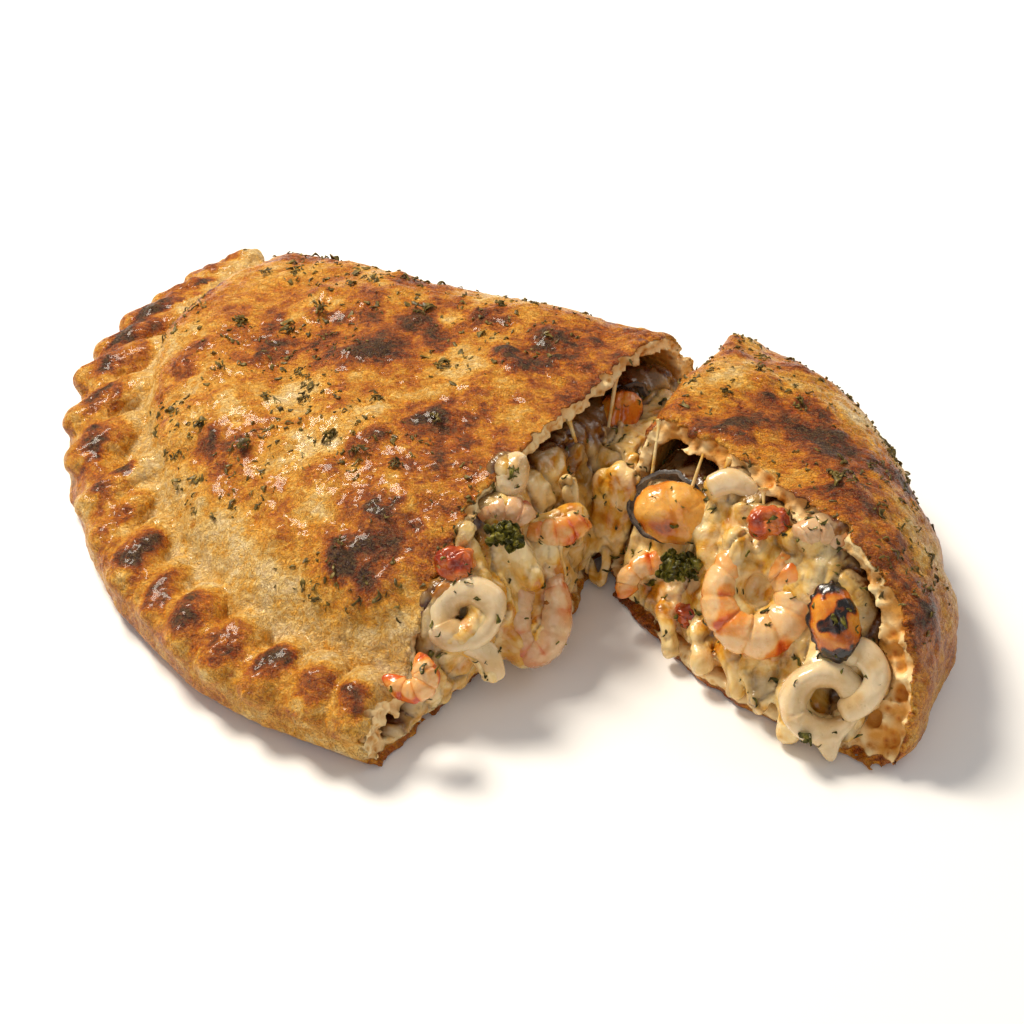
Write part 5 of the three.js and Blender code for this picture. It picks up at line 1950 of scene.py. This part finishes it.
@dataclass(frozen=True)
class Studio:
    """The pale floor, the soft lights and the camera."""

    target: Place = (7, -1, 0)
    distance: float = 536.2
    elevation: float = 40.0
    lens: float = 65.0
    floor_size: float = 8.0
    floor_drop: float = 0.0004

    def build(self) -> None:
        """Sets the floor, the lights and the camera."""
        floor = begin("floor", bpy.ops.mesh.primitive_plane_add, size=self.floor_size)
        corners = corners_of(floor)
        corners[:, 2] = -self.floor_drop
        floor.data.vertices.foreach_set("co", corners.ravel())
        bench = Bench("pale_floor")
        bench.feed(bench.shader.inputs["Base Color"], srgb(250, 250, 250))
        bench.feed(bench.shader.inputs["Roughness"], 0.8)
        floor.data.materials.append(bench.material)
        self.light("key", (-0.5, 0.45, 0.95), 0.34, 17.5, (255, 244, 226))
        self.light("fill", (-0.1, -1.1, 0.8), 1.0, 2.6, (255, 252, 248))
        self.light("side", (0.9, 0.35, 0.8), 0.6, 2.0, (255, 248, 240))
        world = bpy.data.worlds.new("studio_air")
        world.use_nodes = True
        air = world.node_tree.nodes["Background"]
        air.inputs["Color"].default_value = srgb(255, 254, 252)
        air.inputs["Strength"].default_value = 0.3
        scene = bpy.context.scene
        scene.world = world
        scene.view_settings.view_transform = "Standard"
        camera = bpy.data.cameras.new("camera")
        camera.lens = self.lens
        camera.sensor_width = 36
        camera.clip_start = 0.01
        holder = bpy.data.objects.new("camera", camera)
        scene.collection.objects.link(holder)
        tilt = self.elevation * DEG
        back = Vector((0, -math.cos(tilt), math.sin(tilt)))
        holder.location = Vector(self.target) * MM + back * self.distance * MM
        holder.rotation_euler = (-back).to_track_quat("-Z", "Y").to_euler()
        scene.camera = holder

    def light(self, name: str, at: Place, size: float, power: float, colour: tuple[int, int, int]) -> None:
        """Hangs one soft square light that looks at the middle.

        Args:
            name: Its name.
            at: Its place in metres.
            size: Its side in metres.
            power: Its power in watts.
            colour: Its colour.
        """
        lamp = bpy.data.lights.new(name, "AREA")
        lamp.shape = "SQUARE"
        lamp.size = size
        lamp.energy = power
        lamp.color = srgb(*colour)[:3]
        holder = bpy.data.objects.new(name, lamp)
        bpy.context.scene.collection.objects.link(holder)
        holder.location = at
        holder.rotation_euler = (-Vector(at)).to_track_quat("-Z", "Y").to_euler()


# ---- the whole calzone ----


LEFT_FACE = CutFace(
    origin=(67 + 163.5 * math.cos(234.5 * DEG), 30 + 163.5 * math.sin(234.5 * DEG)),
    turn=54.5,
    lean=12,
    lip=(8, 74, 18),
)
RIGHT_FACE = CutFace(origin=(33, -33), turn=-46, lean=20, lip=(9, 47, 34))


def left_crust() -> Crust:
    """The larger piece, with the crimped rim."""
    return Crust(
        name="crust_shell_left",
        node="crust_left",
        finish=Finish.LEFT_CRUST,
        face=LEFT_FACE,
        corner=(67, 30),
        cut_turn=234.5,
        fold_turn=153,
        rim_radii=(163.5, 178.5, 187.5, 190.5, 174),
        dome=50,
        drop=7,
        rim_height=20,
        rim_rise=6,
        rise_width=72,
        rise_bend=1.7,
        rise_steep=0.8,
        fold_width=44,
        fold_steep=0.42,
        crimp_width=19,
        thickness=5.5,
        end=9,
        fold_wall=8,
        box=((-127, -108, -1), (73, 108, 56)),
        valley=4.4,
        ledge=3.4,
        crimps=(
            Crimp(0.035, 0.045, 19, 6.2),
            Crimp(0.085, 0.10, 20, 6.6),
            Crimp(0.145, 0.15, 22, 6.4),
            Crimp(0.2, 0.215, 24, 6.6),
            Crimp(0.255, 0.29, 24, 6.4),
            Crimp(0.312, 0.35, 23, 5.4),
            Crimp(0.375, 0.418, 25, 6.6),
            Crimp(0.44, 0.486, 25, 5.0),
            Crimp(0.497, 0.522, 28, 6.2),
            Crimp(0.575, 0.612, 26, 6.6),
            Crimp(0.645, 0.681, 28, 6.6),
            Crimp(0.712, 0.752, 28, 6.2),
            Crimp(0.77, 0.822, 26, 5.8),
            Crimp(0.822, 0.874, 25, 5.4),
            Crimp(0.875, 0.918, 23, 5.2),
            Crimp(0.93, 0.955, 21, 5.2),
            Crimp(0.975, 0.99, 18, 4.8),
        ),
        blisters=(
            Blister(6, 9, 7, 2.0, 1.0),
            Blister(9, 3, 5, 1.4, 0.8),
            Blister(-13, -16, 7, 2.0, 1.0),
            Blister(-3, -13, 7, 1.5, 0.75),
            Blister(-20, -47, 8, 1.9, 0.95),
            Blister(-28, -51, 6, 1.6, 0.85),
            Blister(-38, 15, 7, 1.8, 0.8),
            Blister(-30, 18, 8, 1.8, 0.9),
            Blister(-36, -58, 7, 2.0, 1.0),
            Blister(-30, -62, 6, 1.0, 0.7),
            Blister(-55, -47, 6, 1.8, 0.55),
            Blister(-20, 31, 6, 2.2, 0.85),
            Blister(-63.5, 20.5, 3.6, 2.4, 0.75),
            Blister(-49, 51, 4.5, 2.0, 0.4),
            Blister(-50, 40, 4, 1.6, 0.7),
            Blister(-88, 25, 5, 1.2, 0.8),
            Blister(-84, 31, 6, 1.0, 0.6),
            Blister(-68, -15, 7, 1.6, 0.75),
            Blister(-75, -10, 5, 1.2, 0.6),
            Blister(-55, -19, 4, 1.5, 0.5),
            Blister(-44, -33, 7, 1.4, 0.55),
            Blister(-58.5, -31, 5, 1.4, 0.55),
            Blister(-76, -27.5, 5, 1.2, 0.5),
            Blister(-34, -28.5, 3.5, 1.4, 0.5),
            Blister(-28, -24, 3.5, 1.4, 0.5),
            Blister(17, 20, 5.5, 1.7, 0.7),
            Blister(29.5, 18, 4, 1.5, 0.6),
            Blister(25, 30, 4, 1.2, 0.5),
            Blister(-3, 34, 3.5, 1.5, 0.55),
            Blister(20, 7, 4.5, 1.3, 0.6),
            Blister(-12, -37, 4.5, 1.6, 0.3),
            Blister(-25, -67, 4, 1.2, 0.4),
            Blister(-34, -69, 5, 1.0, 0.35),
            Blister(-27, 63, 4, 1.2, 0.4),
            Blister(-14, -54, 5, 1.0, 0.5),
        ),
    )


def right_crust() -> Crust:
    """The smaller piece, with the pleated side."""
    return Crust(
        name="crust_shell_right",
        node="crust_right",
        finish=Finish.RIGHT_CRUST,
        face=RIGHT_FACE,
        corner=(33, -33),
        cut_turn=-46,
        fold_turn=61,
        rim_radii=(98, 94.2, 88, 90, 91),
        dome=51.5,
        drop=2,
        rim_height=17,
        rim_rise=0,
        rise_width=50,
        rise_bend=2.2,
        rise_steep=0.6,
        fold_width=14,
        fold_steep=0.3,
        crimp_width=0,
        thickness=6,
        end=16,
        fold_wall=5,
        box=((22, -110, -1), (127, 58, 58)),
        pleat=0.9,
        bubbles=1.3,
        triangles=150000,
        holes=(
            (93.4, 8.4, 2.4),
            (91.2, 20.4, 2.2),
            (93.6, 16.6, 1.7),
            (93.2, 13.6, 1.5),
            (90.6, 14.6, 1.5),
            (95.4, 11.6, 1.2),
            (87, 10.6, 2.4),
            (88.6, 26.5, 1.6),
            (85.4, 36, 1.5),
            (81.5, 41, 1.3),
        ),
        blisters=(
            Blister(49.5, -19, 5, 1.0, 0.5),
            Blister(56, -24.5, 5, 1.2, 0.7),
            Blister(61.5, -28, 4.5, 1.8, 0.8),
            Blister(67.5, -31, 4.5, 1.8, 0.7),
            Blister(67, -25, 4.5, 1.2, 0.7),
            Blister(74, -23, 5, 1.4, 0.7),
            Blister(86, -35, 6, 1.2, 0.5),
            Blister(93, -51, 6, 1.4, 0.6),
            Blister(97.6, -69, 5, 1.4, 0.4),
            Blister(103, -61, 4, 1.6, 0.45),
            Blister(76, -4, 4, 1.4, 0.6),
            Blister(76, -11, 4, 1.2, 0.5),
            Blister(87, 8, 5, 1.4, 0.5),
            Blister(110, -78, 6, 0.8, 0.3),
            Blister(106, -75, 5, 0.8, 0.25),
            Blister(93.6, -25, 5, 1.2, 0.45),
            Blister(70, 12, 5, 1.2, 0.6),
        ),
    )


PRAWNS = (
    Prawn(
        "prawn_curled_right", Lie((69, -66.8, 27.4)),
        curl=(9.7, 9.6), thick=6.4, tail=0.66, start=72, end=-262, segments=7, blush=0.08,
    ),
    Prawn(
        "prawn_low_right", Lie((45.8, -47.3, 12.8), lean=-10),
        curl=(8, 6), thick=4.2, tail=0.7, start=-20, end=205, segments=5, blush=0.05,
    ),
    Prawn(
        "prawn_top_right", Lie((82.6, -65.6, 40.6), turn=20),
        curl=(6, 5.4), thick=4.1, tail=0.75, start=140, end=-70, finish=Finish.PINK_PRAWN, segments=5,
    ),
    Prawn(
        "prawn_hanging_left", Lie((13.5, -60.3, 15.6), spin=-6),
        curl=(4.8, 9.8), thick=4.5, tail=0.9, start=70, end=-262, finish=Finish.PINK_PRAWN,
        segments=7, blush=-0.12, groove=0.03,
    ),
    Prawn(
        "prawn_upper_left", Lie((16.5, -38.6, 39.8)),
        curl=(11.5, 11.5), thick=4, tail=0.9, start=-38, end=-128, segments=4, blush=0.12,
    ),
    Prawn(
        "prawn_middle_left", Lie((4.4, -49.5, 36.4)),
        curl=(6.5, 4), thick=3.7, tail=0.85, start=10, end=165, finish=Finish.PINK_PRAWN,
        segments=4, blush=0.12,
    ),
    Prawn(
        "prawn_low_left", Lie((-18, -89.6, 21.6)),
        curl=(3.6, 3.2), thick=3.7, tail=0.8, start=80, end=-190, segments=5, blush=0.2,
    ),
)
RINGS = (
    SquidRing("squid_ring_right", Lie((83.9, -90.8, 14), spin=20, lean=8), (7.9, 7.6), (2.9, 3.5), 5.0),
    SquidRing("squid_ring_left", Lie((-5.0, -73.4, 27.4), spin=25, lean=-6), (7.2, 6.0), (3.4, 3.3)),
)
STRIPS = (
    SquidStrip(
        "squid_strip_right",
        Lie((95.5, -91.5, 21.5)),
        ((-7.5, 7, -4.5), (-2, 7, -2), (1.2, 1.5, -1), (-1.6, -4.5, -1.6), (-7.5, -8, -4.5)),
        (3.7, 2.4),
    ),
    SquidStrip(
        "squid_strip_left",
        Lie((-2.5, -75.8, 18.5)),
        ((-9, 6, -1), (-3, 1.5, 3), (3.2, -1.5, 4), (6, -8.5, 3)),
        (2.7, 2.2),
        0.6,
    ),
    SquidStrip(
        "squid_top_right",
        Lie((63.5, -44.3, 41.5)),
        ((-6, 2, 0), (0, 4, 1), (5, 1, 1), (6, -5, 0)),
        (3.2, 3),
    ),
)
LUMPS = (
    Lump("squid_top_left", Lie((7, -41, 46), spin=-20), (4.4, 6.2, 4.5), Finish.SQUID, "squid", 0.05),
    Lump("squid_lump_left", Lie((18.4, -37.8, 24.6)), (5.6, 5.2, 4.5), Finish.SQUID, "squid", 0.07),
    *(
        Lump(node, lie, half, Finish.TOMATO, "tomato", uneven=0.12, square=0.62)
        for node, lie, half in (
            ("tomato_left", Lie((-6.8, -65, 36.6), spin=20), (4.4, 3.9, 3.2)),
            ("tomato_low_right", Lie((53.2, -57.8, 12.4), spin=30), (3.5, 3, 2.8)),
            ("tomato_top_right", Lie((72, -57, 43.4), spin=10), (4.8, 3.6, 3.2)),
        )
    ),
)
MUSSELS = (
    Mussel(
        "top_right",
        Lie((49.2, -40.3, 32.6), spin=-12),
        (10.4, 8.2, 6),
        (-2.8, 1.6, -2.6),
        tip=-34,
        frill=0.12,
    ),
    Mussel(
        "side_right",
        Lie((86.6, -79.2, 30.2), spin=8),
        (6.4, 9.6, 5.2),
        (4.0, 0, -0.4),
        tip=34,
        frill=0.5,
        dark=1.0,
    ),
    Mussel("back_left", Lie((37, 4.5, 31), spin=-25), (6, 8, 5), (3, 2, -3), tip=30, frill=0.3, dark=0.3),
)
CLUMPS = (
    HerbClump("herbs_left", Lie((5.6, -56.6, 39.4)), (9.5, 6.5), 3),
    HerbClump("herbs_right", Lie((50.2, -52.3, 24.8)), (13, 7.5), 8),
)
DRIED_LEFT = (
    (-13, -20), (-36, -57), (-78, -5), (-66, -16), (-76, 18), (-73, 43), (-49, 40),
    (-69, 68), (-50, -3), (-61, 1), (-42, -21), (-34, -29), (-12, 7), (-20, 36),
    (-23, -35), (-43, -66), (-28, -4), (-52, 10), (4, 39), (-58, 33),
)
DRIED_RIGHT = ((65, -12), (75, 1), (84, -14), (89, -47), (100, -38))
THREADS_RIGHT = (
    Thread(((46.4, -18.4, 47), (45.2, -24, 41), (44, -29, 32)), 0.8),
    Thread(((58.6, -28.4, 48.5), (55.8, -34, 43), (53.5, -37.5, 36)), 0.8),
    Thread(((63.8, -35.6, 47.5), (58.5, -42, 39), (53, -48, 25)), 0.7),
    Thread(((71, -47, 46.6), (71, -51, 43), (70.6, -54, 38)), 0.9),
)
THREADS_LEFT = (
    Thread(((22, -12.6, 43.5), (24.4, -15.5, 36), (26, -16.5, 26)), 1.1),
    Thread(((36, 6, 44.5), (34.8, 0.5, 38), (33, -4.5, 26)), 1.0),
)


def drip(*path: Place, thick: float) -> list[Bead]:
    """A row of balls down a path, for a drip of cheese that ends in a drop."""
    beads = []
    for t in np.linspace(0, 1, 10):
        at = tuple(float(through(c, np.array([t]))[0]) for c in zip(*path))
        beads.append(Bead(at, thick * float(1.15 - 0.75 * t + 0.55 * t**3)))
    return beads


def hollow(face: CutFace, ring: SquidRing) -> Mound:
    """The hollow in the melted cheese inside a squid ring."""
    along, up, _ = face.place(*map(np.array, ring.lie.at))
    return Mound(float(along), float(up), *RING_HOLLOW)


def left_filling(crust: Crust, beads: Sequence[Bead]) -> Filling:
    """The filling of the larger piece, with the beads of what lies in it."""
    hollows = [hollow(crust.face, ring) for ring in RINGS if ring.lie.at[0] < 30]
    return Filling(
        "melted_filling_left",
        "filling_left",
        crust,
        ((-118, -108, 0), (70, 100, 52)),
        3.0,
        (Mound(62, 15, 32, 18, 6.5), Mound(132, 46, 26, 13, -16), *hollows),
        (45, 15, 70, 20, 5),
        [bead for bead in beads if bead.at[0] < 25],
        [
            *drip((6, -52, 33), (9.5, -55, 30), (12, -57.5, 26), thick=3.4),
            *drip((16, -49, 28), (18, -51, 21), thick=3.0),
            *drip((-5, -57, 41), (-3, -61, 35), (-1, -64, 32), thick=2.2),
            *drip((2, -62, 26), (4, -64, 19), thick=2.6),
            *drip((22, -33, 37), (23, -36, 29), (24, -37, 21), thick=1.8),
        ],
    )


def right_filling(crust: Crust, beads: Sequence[Bead]) -> Filling:
    """The filling of the smaller piece, with the beads of what lies in it."""
    hollows = [hollow(crust.face, ring) for ring in RINGS if ring.lie.at[0] > 30]
    return Filling(
        "melted_filling_right",
        "filling_right",
        crust,
        ((24, -106, 0), (116, 44, 52)),
        3.5,
        (Mound(50, 12, 38, 18, 5.5), Mound(13, 50, 14, 9, -13), Mound(84, 32, 9, 9, -9), *hollows),
        (52, -20, 34, 10, 7),
        [bead for bead in beads if bead.at[0] > 40],
        [
            *drip((63.5, -56.5, 38), (64.5, -60.5, 35.5), thick=1.9),
            *drip((56, -44, 31), (57.5, -50.5, 27), thick=2.6),
            *drip((78, -69, 31), (79, -73.5, 25), (79, -77, 20), thick=2.2),
            *drip((62, -70, 12), (63.6, -76.6, 8.5), (64, -78.2, 4.5), thick=1.9),
            *drip((68, -77, 13), (69, -83, 8), (69.6, -84, 6), thick=2.2),
            *drip((74, -83, 12), (76, -89.6, 8), (76.6, -91.4, 2.8), thick=2.1),
            *drip((47, -55, 12), (48.2, -61.6, 8), (48.6, -63.2, 4), thick=1.7),
            *drip((55, -63, 12), (56, -69.5, 9), (56.2, -70.6, 7), thick=1.9),
        ],
    )


def build_threads(name: str, threads: Sequence[Thread]) -> bpy.types.Object:
    """Makes the threads of one side as one piece."""
    made = []
    for thread in threads:
        piece = begin_ball("thread", 14, 60)
        thread.shape(piece)
        # The threads get no painted shade.
        paint(piece, "deep", np.zeros(len(piece.data.vertices)))
        made.append(piece)
    return dress(join_all(made, name), Finish.CHEESE, "cheese")


def main() -> None:
    """Builds the whole calzone in order."""
    logging.basicConfig(level=logging.INFO, format="%(message)s")
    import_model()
    Studio().build()
    crusts = [left_crust(), right_crust()]
    soft = [*PRAWNS, *RINGS, *STRIPS, *LUMPS]
    pieces = [item.build() for item in soft]
    for mussel in MUSSELS:
        pieces += mussel.build()
    beads = [bead for item in (*soft, *MUSSELS) for bead in item.beads()]
    fillings = [left_filling(crusts[0], beads), right_filling(crusts[1], beads)]
    for clump in CLUMPS:
        clump.build()
    build_threads("cheese_threads_left", THREADS_LEFT)
    build_threads("cheese_threads_right", THREADS_RIGHT)
    melted = [filling.build() for filling in fillings]
    melted.append(Bridge(LEFT_FACE).build())
    shells = [crust.build() for crust in crusts]

    def on_skin(spots: Array, normals: Array) -> Array:
        """Where dried herbs lie: on the upper skin, more of them near the middle."""
        return (normals[:, 2] > 0.35) * (spots[:, 2] > 24) * ease(-0.5, 0.6, cloud(spots, 24, 90))

    def on_face(spots: Array, normals: Array) -> Array:
        """Where chopped herbs lie in the filling: on what faces the open side."""
        facing = np.maximum(normals @ LEFT_FACE.axes()[2], normals @ RIGHT_FACE.axes()[2])
        return (facing > 0.35) * (spots[:, 2] > 6)

    dried = (
        Flecks("dried_flecks_left", Finish.DRIED_HERB, 720, (0.8, 3.3), 5, 0.1, DRIED_LEFT),
        Flecks("dried_flecks_right", Finish.DRIED_HERB, 330, (0.8, 3.3), 6, 0.1, DRIED_RIGHT),
    )
    for flecks, shell in zip(dried, shells):
        flecks.build([(shell, on_skin, 1.0)])
    hosts = [(melted[0], on_face, 0.3), (melted[1], on_face, 0.32), (melted[2], on_face, 0.1)]
    hosts += [(piece, on_face, 0.28 / len(pieces)) for piece in pieces if "shell" not in piece.name]
    Flecks("chopped_flecks", Finish.FRESH_HERB, 660, (0.8, 3.8), 9, 0.05).build(hosts)


if __name__ == "__main__":
    main()
